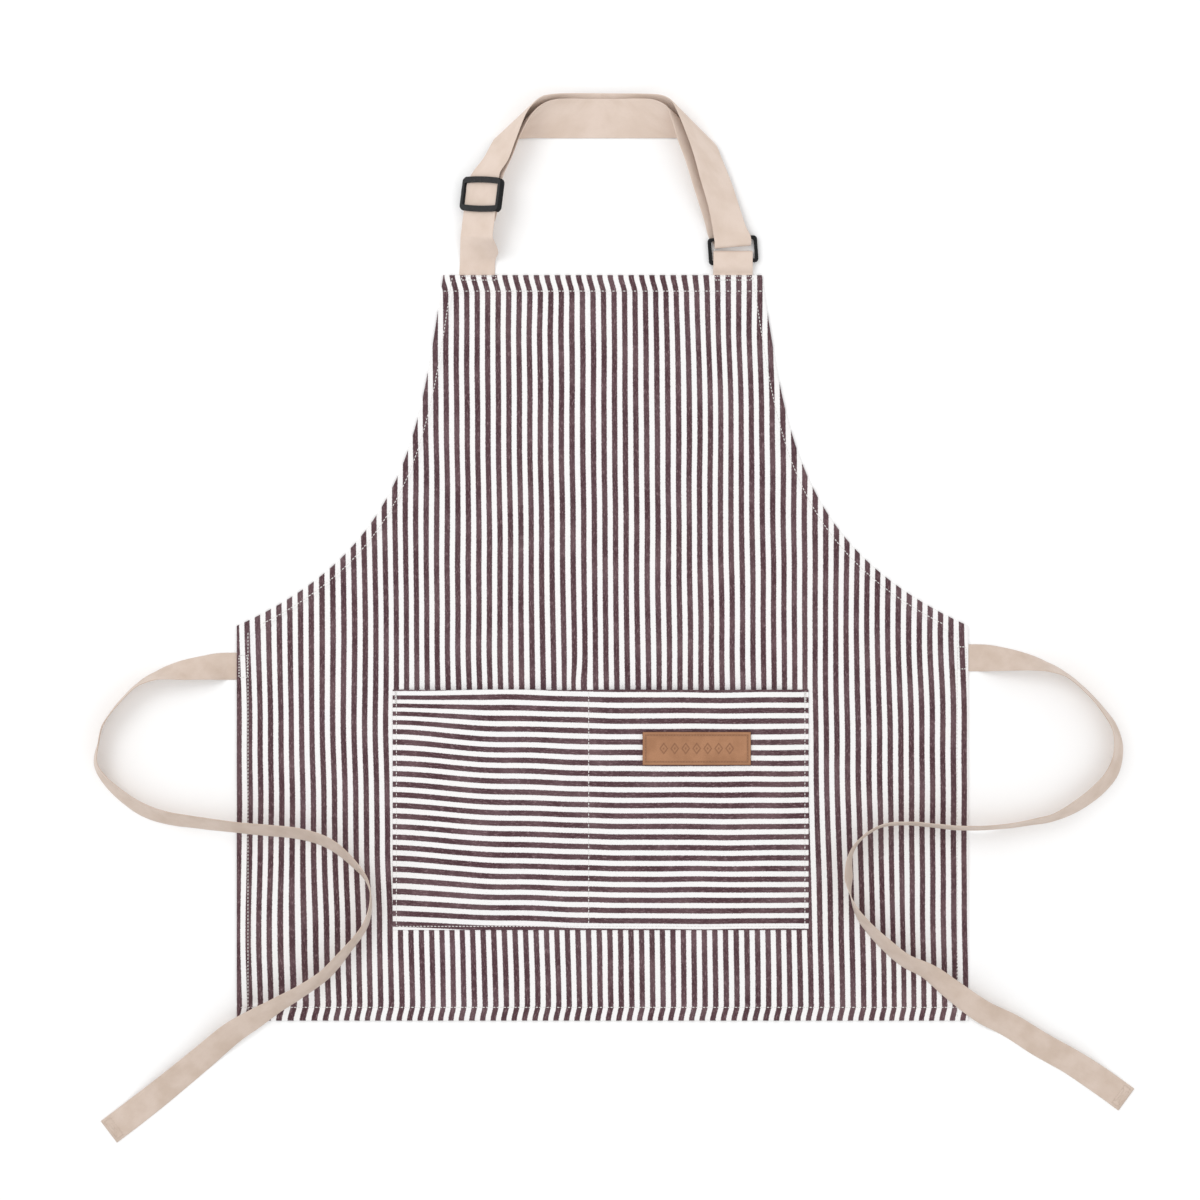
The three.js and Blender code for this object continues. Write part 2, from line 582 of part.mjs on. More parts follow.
function waistTie(side, route, rootY) {
  const path = new TapePath(route);
  const tape = new THREE.ExtrudeGeometry(tapeSection(), { steps: 80, extrudePath: path, bevelEnabled: false });
  add(side + "_waist_tie", tape, "tape");
  const rootSide = Math.sign(route[0][0]);
  const rootX = rootSide * (half(skirtWidth) - half(tieTuck) + 0.5);
  add(side + "_tie_root_stitching", stitchFrame(8, tieWidth - 4, rootX, rootY, hemThreadZ), "whiteThread");
  // Stitches that hold the turned end, on the tape's upper face.
  const end = route[route.length - 1];
  const before = route[route.length - 2];
  const heading = Math.atan2(end[1] - before[1], end[0] - before[0]);
  const frame = stitchFrame(9, tieWidth - 4, -7, 0, tieThickness + 2 * clearance);
  frame.rotateZ(heading).translate(end[0], end[1], 0);
  add(side + "_tie_end_stitching", frame, "beigeThread");
}

add("apron_panel", apronPanel(), "stripedCotton");
hemStitching();
pocket();
label();
slider();
neckStrap();
ringTab();
ring();
waistTie("left", leftRoute, leftTieY);
waistTie("right", rightRoute, rightTieY);

export default apron;
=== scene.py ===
import math
import random

import bmesh
import bpy
from mathutils import Matrix, Vector, noise


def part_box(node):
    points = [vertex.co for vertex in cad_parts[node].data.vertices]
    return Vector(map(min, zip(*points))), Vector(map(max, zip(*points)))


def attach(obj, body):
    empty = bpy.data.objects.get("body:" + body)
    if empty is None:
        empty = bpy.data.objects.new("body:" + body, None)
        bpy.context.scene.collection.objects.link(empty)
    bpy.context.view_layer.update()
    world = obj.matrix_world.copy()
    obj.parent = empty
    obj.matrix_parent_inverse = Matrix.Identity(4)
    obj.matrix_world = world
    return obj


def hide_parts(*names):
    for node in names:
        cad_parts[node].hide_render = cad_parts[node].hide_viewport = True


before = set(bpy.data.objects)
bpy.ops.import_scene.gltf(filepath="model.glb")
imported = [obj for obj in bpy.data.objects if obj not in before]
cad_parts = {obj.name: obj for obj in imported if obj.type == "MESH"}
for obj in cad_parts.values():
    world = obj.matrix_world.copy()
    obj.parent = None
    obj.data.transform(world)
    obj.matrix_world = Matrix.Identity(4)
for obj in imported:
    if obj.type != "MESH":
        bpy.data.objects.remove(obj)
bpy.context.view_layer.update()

mm = 0.001
panelLow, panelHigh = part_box("apron_panel")
skirtHalf = panelHigh[0] / mm
bottomY = panelLow[1] / mm
bibTopY = panelHigh[1] / mm
waistY = bibTopY - 326
bibHalf = 148
clearance = 0.3

camera = {"lens": 85, "sensor": 36, "frameWidth": 1116, "centreX": -2.4, "centreY": -40}
light = {
    "world": 0.93, "floorHalf": 6, "floorWhite": 0.96,
    "key": 20.0, "keyPlace": (-1.5, 1.3, 2.4), "keySize": 1.6,
    "fill": 6.0, "fillPlace": (1.8, -0.9, 2.2), "fillSize": 2.2,
}


def addCamera():
    data = bpy.data.cameras.new("camera")
    data.lens = camera["lens"]
    data.sensor_width = camera["sensor"]
    data.clip_end = 20
    height = camera["frameWidth"] * mm * camera["lens"] / camera["sensor"]
    seen = bpy.data.objects.new("camera", data)
    seen.location = (camera["centreX"] * mm, camera["centreY"] * mm, height)
    bpy.context.scene.collection.objects.link(seen)
    bpy.context.scene.camera = seen


def addLight(name, place, size, power):
    data = bpy.data.lights.new(name, "AREA")
    data.shape = "DISK"
    data.size = size
    data.energy = power
    lamp = bpy.data.objects.new(name, data)
    lamp.location = place
    lamp.rotation_euler = (Vector((0, 0, 0)) - Vector(place)).to_track_quat("-Z", "Y").to_euler()
    bpy.context.scene.collection.objects.link(lamp)


def setInputs(node, values):
    for name, value in values.items():
        node.inputs[name].default_value = value


def addStudio():
    bm = bmesh.new()
    bmesh.ops.create_grid(bm, x_segments=1, y_segments=1, size=light["floorHalf"])
    mesh = bpy.data.meshes.new("studio_floor")
    bm.to_mesh(mesh)
    bm.free()
    floor = bpy.data.objects.new("studio_floor", mesh)
    bpy.context.scene.collection.objects.link(floor)
    material = bpy.data.materials.new("studio_floor")
    material.use_nodes = True
    shader = material.node_tree.nodes["Principled BSDF"]
    white = light["floorWhite"]
    setInputs(shader, {"Base Color": (white, white, white, 1), "Roughness": 0.9, "Specular IOR Level": 0.1})
    mesh.materials.append(material)
    world = bpy.data.worlds.new("studio")
    world.use_nodes = True
    setInputs(world.node_tree.nodes["Background"], {"Color": (1, 1, 1, 1), "Strength": light["world"]})
    bpy.context.scene.world = world
    addLight("key", light["keyPlace"], light["keySize"], light["key"])
    addLight("fill", light["fillPlace"], light["fillSize"], light["fill"])
    bpy.context.scene.view_settings.view_transform = "Standard"


addCamera()
addStudio()
print("stage: camera and studio")


def smooth(low, high, value):
    share = min(max((value - low) / (high - low), 0), 1)
    return share * share * (3 - 2 * share)


def curveAt(points, t):
    # centripetal curve through the points, t from 0 to 1
    place = (len(points) - 1) * t
    i = min(int(place), len(points) - 2)
    share = place - i
    p1, p2 = points[i], points[i + 1]
    p0 = points[i - 1] if i > 0 else 2 * p1 - p2
    p3 = points[i + 2] if i + 2 < len(points) else 2 * p2 - p1
    gaps = [max((b - a).length_squared ** 0.25, 1e-4) for a, b in ((p0, p1), (p1, p2), (p2, p3))]
    d0, d1, d2 = gaps
    m1 = ((p1 - p0) / d0 - (p2 - p0) / (d0 + d1) + (p2 - p1) / d1) * d1
    m2 = ((p2 - p1) / d1 - (p3 - p1) / (d1 + d2) + (p3 - p2) / d2) * d1
    c2 = 3 * (p2 - p1) - 2 * m1 - m2
    c3 = 2 * (p1 - p2) + m1 + m2
    return p1 + m1 * share + c2 * share ** 2 + c3 * share ** 3


def bell(distance, width):
    return math.exp(-(distance / width) ** 2)


def wave(x, y, seed, size):
    return noise.noise(Vector((x / size, y / size, seed)))


finishes = {}


def finishPiece(name, bm, materialName, node, body="apron"):
    # the mesh becomes a piece that rides a body and stands for one CAD node
    mesh = bpy.data.meshes.new(name)
    bm.to_mesh(mesh)
    bm.free()
    mesh.materials.append(finishes[materialName])
    mesh.polygons.foreach_set("use_smooth", [True] * len(mesh.polygons))
    piece = bpy.data.objects.new(name, mesh)
    bpy.context.scene.collection.objects.link(piece)
    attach(piece, body)
    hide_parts(node)
    return piece


def clothGrid(name, columns, rows, place, materialName, uvPlace, node):
    # two facing grids joined at their rims, so that the cloth's thickness and edges can vary
    # place(i, j) gives the upper and the lower point in millimetres, uvPlace(i, j) the cloth's own place
    bm = bmesh.new()
    uvLayer = bm.loops.layers.uv.new("cloth")

    def gridAt(z):
        lift = Matrix.Translation((0, 0, z))
        return bmesh.ops.create_grid(bm, x_segments=columns, y_segments=rows, size=0.5, matrix=lift)["verts"]

    upper = gridAt(0.01)
    lower = gridAt(-0.01)
    lowerFaces = {face for vert in lower for face in vert.link_faces}
    bmesh.ops.reverse_faces(bm, faces=list(lowerFaces))
    bmesh.ops.bridge_loops(bm, edges=[edge for edge in bm.edges if edge.is_boundary])
    index = {}
    for side, verts in enumerate((upper, lower)):
        for vert in verts:
            index[vert] = (round((vert.co.x + 0.5) * columns), round((vert.co.y + 0.5) * rows), side)
    placed = {}
    for vert, (i, j, side) in index.items():
        if (i, j) not in placed:
            placed[i, j] = place(i, j)
        vert.co = placed[i, j][side] * mm
    for face in bm.faces:
        for loop in face.loops:
            i, j, side = index[loop.vert]
            loop[uvLayer].uv = uvPlace(i, j)
    bmesh.ops.recalc_face_normals(bm, faces=bm.faces)
    return finishPiece(name, bm, materialName, node)


def newMaterial(name, roughness, sheen=0.0, specular=0.3):
    material = bpy.data.materials.new(name)
    finishes[name] = material
    material.use_nodes = True
    shader = material.node_tree.nodes["Principled BSDF"]
    setInputs(shader, {"Roughness": roughness, "Specular IOR Level": specular})
    setInputs(shader, {"Sheen Weight": sheen, "Sheen Roughness": 0.5})
    return material.node_tree, shader


def newGroup(name, inputs, outputs):
    group = bpy.data.node_groups.new(name, "ShaderNodeTree")
    for title, kind, value in inputs:
        socket = group.interface.new_socket(title, in_out="INPUT", socket_type=kind)
        if value is not None:
            socket.default_value = value
    for title, kind in outputs:
        group.interface.new_socket(title, in_out="OUTPUT", socket_type=kind)
    source = group.nodes.new("NodeGroupInput")
    sink = group.nodes.new("NodeGroupOutput")
    return group, source, sink


def mathNode(tree, operation, first, second=None, third=None):
    node = tree.nodes.new("ShaderNodeMath")
    node.operation = operation
    for slot, value in enumerate((first, second, third)):
        if value is None:
            continue
        if isinstance(value, (int, float)):
            node.inputs[slot].default_value = value
        else:
            tree.links.new(value, node.inputs[slot])
    return node.outputs[0]


def noiseNode(tree, vector, scale, detail=2.0, roughness=0.5):
    node = tree.nodes.new("ShaderNodeTexNoise")
    setInputs(node, {"Scale": scale, "Detail": detail, "Roughness": roughness})
    tree.links.new(vector, node.inputs["Vector"])
    return node.outputs["Fac"]


def mixColour(tree, factor, first, second):
    node = tree.nodes.new("ShaderNodeMix")
    node.data_type = "RGBA"
    for name, value in (("Factor", factor), ("A", first), ("B", second)):
        socket = [s for s in node.inputs if s.name == name and s.enabled][0]
        if isinstance(value, (int, float)):
            socket.default_value = value
        elif isinstance(value, tuple):
            socket.default_value = (*value, 1)
        else:
            tree.links.new(value, socket)
    return [s for s in node.outputs if s.enabled][0]


def rangeNode(tree, value, low, high, toLow=0.0, toHigh=1.0):
    node = tree.nodes.new("ShaderNodeMapRange")
    node.interpolation_type = "SMOOTHSTEP"
    setInputs(node, {"From Min": low, "From Max": high, "To Min": toLow, "To Max": toHigh})
    tree.links.new(value, node.inputs["Value"])
    return node.outputs["Result"]


def bumpInto(tree, shader, height, strength, distance):
    bump = tree.nodes.new("ShaderNodeBump")
    setInputs(bump, {"Strength": strength, "Distance": distance})
    tree.links.new(height, bump.inputs["Height"])
    tree.links.new(bump.outputs["Normal"], shader.inputs["Normal"])


def clothPlace(tree):
    node = tree.nodes.new("ShaderNodeUVMap")
    node.uv_map = "cloth"
    return node.outputs["UV"]


yarns = {
    "wobbleScale": 260, "wobble": 1.8, "slubScale": 900, "slubStretch": 0.22, "slubRise": 0.4,
    "fleckFrom": 0.5, "fleckTo": 0.72,
}


def buildWeaveGroup():
    # plain weave: warp and weft yarns cross over and under, some yarns thicker than others
    inputs = [
        ("Vector", "NodeSocketVector", None),
        ("Yarn", "NodeSocketFloat", 0.0006),
        ("Slub", "NodeSocketFloat", 0.5),
    ]
    outputs = [("Height", "NodeSocketFloat"), ("Fleck", "NodeSocketFloat")]
    group, source, sink = newGroup("yarnWeave", inputs, outputs)
    split = group.nodes.new("ShaderNodeSeparateXYZ")
    group.links.new(source.outputs["Vector"], split.inputs[0])
    rates = mathNode(group, "DIVIDE", math.pi, source.outputs["Yarn"])
    wobble = noiseNode(group, source.outputs["Vector"], yarns["wobbleScale"], 2)
    shift = mathNode(group, "MULTIPLY", wobble, yarns["wobble"])
    across = mathNode(group, "ADD", mathNode(group, "MULTIPLY", split.outputs[0], rates), shift)
    along = mathNode(group, "ADD", mathNode(group, "MULTIPLY", split.outputs[1], rates), shift)
    warp = mathNode(group, "ABSOLUTE", mathNode(group, "SINE", across))
    weft = mathNode(group, "ABSOLUTE", mathNode(group, "SINE", along))
    over = mathNode(group, "SIGN", mathNode(
        group, "MULTIPLY", mathNode(group, "SINE", across), mathNode(group, "SINE", along)))
    upper = mathNode(group, "MULTIPLY_ADD", over, 0.25, 0.75)
    height = mathNode(group, "MULTIPLY", mathNode(group, "MAXIMUM", warp, weft), upper)
    stretch = group.nodes.new("ShaderNodeMapping")
    stretch.inputs["Scale"].default_value = (1.0, yarns["slubStretch"], 1.0)
    group.links.new(source.outputs["Vector"], stretch.inputs["Vector"])
    slub = noiseNode(group, stretch.outputs["Vector"], yarns["slubScale"], 3, 0.7)
    fleck = rangeNode(group, slub, yarns["fleckFrom"], yarns["fleckTo"])
    thick = mathNode(group, "MULTIPLY", fleck, source.outputs["Slub"])
    tall = mathNode(group, "MULTIPLY_ADD", thick, yarns["slubRise"], height)
    group.links.new(tall, sink.inputs["Height"])
    group.links.new(fleck, sink.inputs["Fleck"])
    return group


def useGroup(tree, group, vector, **values):
    node = tree.nodes.new("ShaderNodeGroup")
    node.node_tree = group
    tree.links.new(vector, node.inputs["Vector"])
    setInputs(node, values)
    return node


weaveGroup = buildWeaveGroup()

stripes = {
    "pitch": 9.78, "darkShare": 0.52, "phase": 0.8, "softEdge": 0.035, "ragged": 0.0008,
    "dark": (0.07, 0.030, 0.037), "fleck": (0.28, 0.185, 0.2), "fleckInDark": 0.85, "worn": 0.3,
    "white": (0.88, 0.87, 0.865), "shade": (0.77, 0.755, 0.75), "shadeInWhite": 0.6,
}


def stripedCotton():
    tree, shader = newMaterial("striped_cotton", 0.9, 0.15)
    vector = clothPlace(tree)
    weave = useGroup(tree, weaveGroup, vector, Yarn=0.00055, Slub=0.7)
    split = tree.nodes.new("ShaderNodeSeparateXYZ")
    tree.links.new(vector, split.inputs[0])
    ragged = mathNode(
        tree, "MULTIPLY_ADD", noiseNode(tree, vector, 700, 1), stripes["ragged"], -stripes["ragged"] / 2)
    across = mathNode(tree, "ADD", split.outputs[0], ragged)
    pitch = stripes["pitch"] * mm
    turns = mathNode(tree, "MULTIPLY_ADD", across, 1 / pitch, 0.5 - stripes["phase"] * mm / pitch)
    inStripe = mathNode(tree, "ABSOLUTE", mathNode(tree, "SUBTRACT", mathNode(tree, "FRACT", turns), 0.5))
    edge = stripes["darkShare"] / 2
    mask = rangeNode(tree, inStripe, edge - stripes["softEdge"], edge + stripes["softEdge"], 1, 0)
    patches = noiseNode(tree, vector, 30, 3)
    fleck = weave.outputs["Fleck"]
    flecked = mathNode(tree, "MULTIPLY", fleck, stripes["fleckInDark"])
    dark = mixColour(tree, flecked, stripes["dark"], stripes["fleck"])
    worn = mixColour(tree, rangeNode(tree, patches, 0.35, 0.75, 0, stripes["worn"]), dark, stripes["fleck"])
    shaded = mathNode(tree, "MULTIPLY", fleck, stripes["shadeInWhite"])
    pale = mixColour(tree, shaded, stripes["white"], stripes["shade"])
    colour = mixColour(tree, mask, pale, worn)
    tree.links.new(colour, shader.inputs["Base Color"])
    bumpInto(tree, shader, weave.outputs["Height"], 0.35, 0.0002)


def wovenTape(name, colour, shade, yarn):
    tree, shader = newMaterial(name, 0.85, 0.25)
    vector = clothPlace(tree)
    weave = useGroup(tree, weaveGroup, vector, Yarn=yarn, Slub=0.4)
    soft = noiseNode(tree, vector, 45, 4)
    base = mixColour(tree, rangeNode(tree, soft, 0.3, 0.75), colour, shade)
    flecked = mixColour(tree, mathNode(tree, "MULTIPLY", weave.outputs["Fleck"], 0.35), base, shade)
    tree.links.new(flecked, shader.inputs["Base Color"])
    tree.links.new(rangeNode(tree, soft, 0.2, 0.8, 0.78, 0.92), shader.inputs["Roughness"])
    bumpInto(tree, shader, weave.outputs["Height"], 0.3, 0.00018)


def solidPlace(tree):
    return tree.nodes.new("ShaderNodeTexCoord").outputs["Object"]


def threadMaterial(name, colour, shade):
    tree, shader = newMaterial(name, 0.75, 0.2)
    twist = noiseNode(tree, solidPlace(tree), 2600, 2)
    tree.links.new(mixColour(tree, twist, colour, shade), shader.inputs["Base Color"])
    bumpInto(tree, shader, twist, 0.4, 0.0001)


leather = {
    "light": (0.345, 0.16, 0.076), "cloud": (0.43, 0.21, 0.108), "pressed": (0.2, 0.085, 0.04),
    "crease": (0.25, 0.11, 0.05), "grainScale": 1100,
}


def leatherMaterial():
    tree, shader = newMaterial("label_leather", 0.55, 0.0, 0.4)
    place = solidPlace(tree)
    cells = tree.nodes.new("ShaderNodeTexVoronoi")
    cells.feature = "DISTANCE_TO_EDGE"
    cells.inputs["Scale"].default_value = leather["grainScale"]
    tree.links.new(place, cells.inputs["Vector"])
    grain = rangeNode(tree, cells.outputs["Distance"], 0.0, 0.25)
    cloudy = noiseNode(tree, place, 70, 4)
    colour = mixColour(tree, rangeNode(tree, cloudy, 0.3, 0.7), leather["light"], leather["cloud"])
    pressed = tree.nodes.new("ShaderNodeAttribute")
    pressed.attribute_name = "pressed"
    darker = mixColour(tree, pressed.outputs["Fac"], colour, leather["pressed"])
    creased = mixColour(tree, rangeNode(tree, grain, 0, 1, 0.25, 0), darker, leather["crease"])
    tree.links.new(creased, shader.inputs["Base Color"])
    tree.links.new(rangeNode(tree, cloudy, 0.2, 0.8, 0.45, 0.65), shader.inputs["Roughness"])
    bumpInto(tree, shader, grain, 0.35, 0.00012)


plastic = {"dark": (0.003, 0.003, 0.0035), "pale": (0.009, 0.009, 0.01)}


def plasticMaterial():
    tree, shader = newMaterial("black_plastic", 0.3, 0.0, 0.22)
    texture = noiseNode(tree, solidPlace(tree), 900, 3)
    tree.links.new(mixColour(tree, texture, plastic["dark"], plastic["pale"]), shader.inputs["Base Color"])
    tree.links.new(rangeNode(tree, texture, 0.3, 0.7, 0.26, 0.42), shader.inputs["Roughness"])
    bumpInto(tree, shader, texture, 0.08, 0.0001)


stripedCotton()
wovenTape("webbing", (0.72, 0.595, 0.515), (0.65, 0.525, 0.44), 0.0007)
wovenTape("tape", (0.64, 0.525, 0.45), (0.55, 0.435, 0.355), 0.0006)
threadMaterial("white_thread", (0.80, 0.78, 0.76), (0.62, 0.6, 0.58))
threadMaterial("tan_thread", (0.42, 0.22, 0.12), (0.3, 0.15, 0.08))
threadMaterial("beige_thread", (0.68, 0.57, 0.48), (0.5, 0.4, 0.33))
leatherMaterial()
plasticMaterial()
print("stage: materials")

tie = {
    "width": 25, "thickness": 0.8, "tuck": 13, "rows": 360, "foldedEnd": 11, "reach": 16, "lift": 0.2,
    "samples": 4000, "cup": 0.5, "ripple": 0.25, "lowest": 0.5,
}
hemDepth = {"top": 16.5, "bottom": 14, "side": 12, "armhole": 10}
hemTop = 3.0
fieldTop = 0.8
leftTie = {"side": -1, "belowWaist": 37.6, "steps": [
    (10, 0, 0), (26, -0.9, 26), (48, -3.4, 44), (73, -8.4, 72), (91, -17.4, 82), (110, -36.4, 82),
    (122, -53.4, 84), (127, -72.4, 80), (129, -90.4, 73), (121, -104.4, 67), (104, -120.4, 60),
    (86, -132.4, 56), (64, -139.9, 57), (38, -143.9, 60), (12, -146.9, 62), (-10, -149.4, 62),
    (-30, -151.4, 61), (-61, -154.9, 61), (-86.5, -163.4, 62), (-108, -180.4, 68), (-122, -197.9, 78),
    (-125.5, -218.4, 90), (-120, -240.4, 101), (-100.5, -265.9, 110), (-83, -285.4, 116),
    (-59.5, -301.4, 121), (-36, -314.9, 129), (-15, -327.9, 143), (3, -339.4, 150), (31.5, -363.4, 158),
    (63, -389.4, 165), (94, -413.9, 178), (119, -432.9, 180)]}
rightTie = {"side": 1, "belowWaist": 29.8, "steps": [
    (10, 0, 0), (26, -0.7, -26), (45.5, -2.7, -45), (70.5, -7.7, -70), (88.5, -15.2, -80),
    (107.5, -30.7, -79), (123.5, -48.7, -76), (134, -65.2, -70), (137.5, -84.7, -61),
    (132, -106.2, -54), (118, -122.7, -54), (99, -136.7, -59), (78, -147.2, -68), (56.5, -151.7, -73),
    (35, -155.2, -76), (12, -156.7, -77), (-12, -156.7, -77), (-34, -154.7, -79), (-58, -152.7, -79),
    (-82, -155.2, -79), (-100, -166.2, -79), (-110.5, -181.2, -76), (-112.5, -203.2, -68),
    (-109, -224.2, -90), (-99.5, -242.2, -107), (-79, -264.2, -118), (-59.5, -280.2, -123),
    (-38, -290.7, -130), (-15, -308.2, -143), (12, -327.7, -152), (39, -341.7, -158),
    (67, -359.2, -163), (95.5, -375.2, -164), (123.5, -393.7, -178), (147, -410.7, -180)]}


def heightUnder(x, y):
    fromSide = skirtHalf - abs(x)
    fromBottom = y - bottomY
    if fromSide < -tie["reach"] or fromBottom < -tie["reach"]:
        return 0
    if fromSide > hemDepth["side"] + tie["reach"] and fromBottom > hemDepth["bottom"] + tie["reach"]:
        return fieldTop + clearance
    return hemTop + 2 * clearance


def tieLine(spec):
    # centres along the tape, with its direction across the width and its face at each
    rootY = waistY - spec["belowWaist"]
    steps = [(-tie["tuck"], 0, 0)] + spec["steps"]
    route = [Vector((spec["side"] * (skirtHalf + out), rootY + up, 0)) for out, up, roll in steps]
    for point in route[2:]:
        point.z = heightUnder(point.x, point.y)
    rolls = [roll for out, up, roll in steps]

    def centreAt(t):
        place = t * (len(rolls) - 1)
        i = min(int(place), len(rolls) - 2)
        roll = math.radians(rolls[i] + (rolls[i + 1] - rolls[i]) * (place - i))
        centre = curveAt(route, t)
        standing = tie["width"] / 2 * abs(math.sin(roll)) + tie["thickness"] / 2 * abs(math.cos(roll))
        centre.z += standing + tie["lift"]
        return centre, roll

    count = tie["samples"]
    fine = [centreAt(k / count) for k in range(count + 1)]
    lengths = [0.0]
    for k in range(count):
        lengths.append(lengths[-1] + (fine[k + 1][0] - fine[k][0]).length)
    rows = []
    k = 0
    for row in range(tie["rows"] + 1):
        wanted = lengths[-1] * row / tie["rows"]
        while k < count - 1 and lengths[k + 1] < wanted:
            k += 1
        span = lengths[k + 1] - lengths[k]
        share = (wanted - lengths[k]) / span if span else 0
        centre = fine[k][0].lerp(fine[k + 1][0], share)
        roll = fine[k][1] + (fine[k + 1][1] - fine[k][1]) * share
        ahead = (fine[min(k + 8, count)][0] - fine[max(k - 8, 0)][0]).normalized()
        level = Vector((-ahead.y, ahead.x, 0)).normalized()
        across = level * math.cos(roll) + Vector((0, 0, math.sin(roll)))
        across = (across - ahead * across.dot(ahead)).normalized()
        rows.append((centre, across, ahead.cross(across), wanted))
    return rows, lengths[-1]


tapeColumns = [-1, -0.97, -0.7, -0.35, 0, 0.35, 0.7, 0.97, 1]


def tapeThickness(share, along, length, ends):
    edge = 0.45 if abs(share) > 0.99 else 1
    folded = 1 + 0.6 * smooth(length - ends - 0.8, length - ends, along)
    closing = 0.5 if along > length - 0.1 else 1
    return edge * folded * closing


def makeTie(name, spec):
    rows, length = tieLine(spec)
    seed = spec["side"] * 3.7
    width = tie["width"] / 2

    def place(i, j):
        centre, across, face, along = rows[j]
        share = tapeColumns[i]
        cup = tie["cup"] * (share * share - 0.5) * smooth(30, 90, along) * smooth(30, 90, length - along)
        ripple = tie["ripple"] * wave(along, share * 14, seed, 16)
        middle = centre + across * (width * share) + face * (cup + ripple * smooth(20, 60, along))
        middle.z = max(middle.z, tie["lowest"])
        depth = face * (tie["thickness"] / 2 * tapeThickness(share, along, length, tie["foldedEnd"]))
        return middle + depth, middle - depth

    def uvPlace(i, j):
        return (width * tapeColumns[i] * mm, rows[j][3] * mm)

    piece = clothGrid(name + "_cloth", len(tapeColumns) - 1, tie["rows"], place, "tape", uvPlace, name)
    return piece, rows, length


leftTape, leftRows, leftLength = makeTie("left_waist_tie", leftTie)
rightTape, rightRows, rightLength = makeTie("right_waist_tie", rightTie)
print("stage: ties", round(leftLength), round(rightLength))

panel = {
    "columns": 140, "stitchIn": 1.5, "hemZ": 2.7, "fieldZ": 0.95, "ply": 0.5, "thinnest": 0.45,
    "lowest": 0.06, "underHem": 0.14, "swell": 0.5, "pucker": 0.2, "seamDepth": 0.42,
    "rim": 1.2, "rimZ": 1.35, "rimHalf": 0.25,
}
roots = {
    "strapX": -115, "tabX": 121.1, "width": 36.5, "webbingEnd": (13.7, 15.6), "tapeEnd": (13.2, 15),
    "strapLift": 1.12, "tabLift": 2.3, "tapeLift": 1.12,
}
armholePoints = [
    (bibHalf, bibTopY), (bibHalf + 22, bibTopY - 142.14),
    (bibHalf + 30, bibTopY - 253.95), (skirtHalf, waistY),
]
pocketLow, pocketHigh = (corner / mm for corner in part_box("pocket_panel"))


def armholeAt(t):
    weights = ((1 - t) ** 3, 3 * t * (1 - t) ** 2, 3 * t * t * (1 - t), t ** 3)
    point = sum((Vector(p) * w for p, w in zip(armholePoints, weights)), Vector((0, 0)))
    ahead = [Vector(b) - Vector(a) for a, b in zip(armholePoints, armholePoints[1:])]
    tangent = (ahead[0] * (1 - t) ** 2 + ahead[1] * 2 * t * (1 - t) + ahead[2] * t * t).normalized()
    return point, tangent


armholeOffsets = {}


def sideX(y, inset):
    # half the panel's width at a height, measured at an inset from its edge
    key = round(inset, 3)
    if key not in armholeOffsets:
        points = []
        for k in range(81):
            point, tangent = armholeAt(k / 80)
            points.append((point.x + tangent.y * inset, point.y - tangent.x * inset))
        armholeOffsets[key] = points
    points = armholeOffsets[key]
    if y >= points[0][1]:
        a, b = points[1], points[0]
    elif y <= points[-1][1]:
        a, b = points[-2], points[-1]
    else:
        low, high = 0, len(points) - 1
        while high - low > 1:
            middle = (low + high) // 2
            if points[middle][1] > y:
                low = middle
            else:
                high = middle
        a, b = points[low], points[high]
    x = a[0] + (b[0] - a[0]) * (y - a[1]) / (b[1] - a[1])
    return min(skirtHalf - inset, x)


def sideDepth(y):
    return hemDepth["side"] - (hemDepth["side"] - hemDepth["armhole"]) * smooth(waistY - 10, waistY + 10, y)


def overRoot(offset, width, inset, end):
    # 1 over webbing or tape sewn behind the hem, 0 beside it and past its end
    beside = smooth(width / 2 + 0.2, width / 2 + 2.5, abs(offset))
    return (1 - beside) * (1 - smooth(*end, inset))


def rootLifts(x, y, fromSide):
    # how far the strap, the tab and a tie lift the hem
    fromTop = bibTopY - y
    strap = overRoot(x - roots["strapX"], roots["width"], fromTop, roots["webbingEnd"])
    tab = overRoot(x - roots["tabX"], roots["width"], fromTop, roots["webbingEnd"])
    spec = leftTie if x < 0 else rightTie
    tape = overRoot(y - waistY + spec["belowWaist"], tie["width"], fromSide, roots["tapeEnd"])
    return roots["strapLift"] * strap, roots["tabLift"] * tab, roots["tapeLift"] * tape


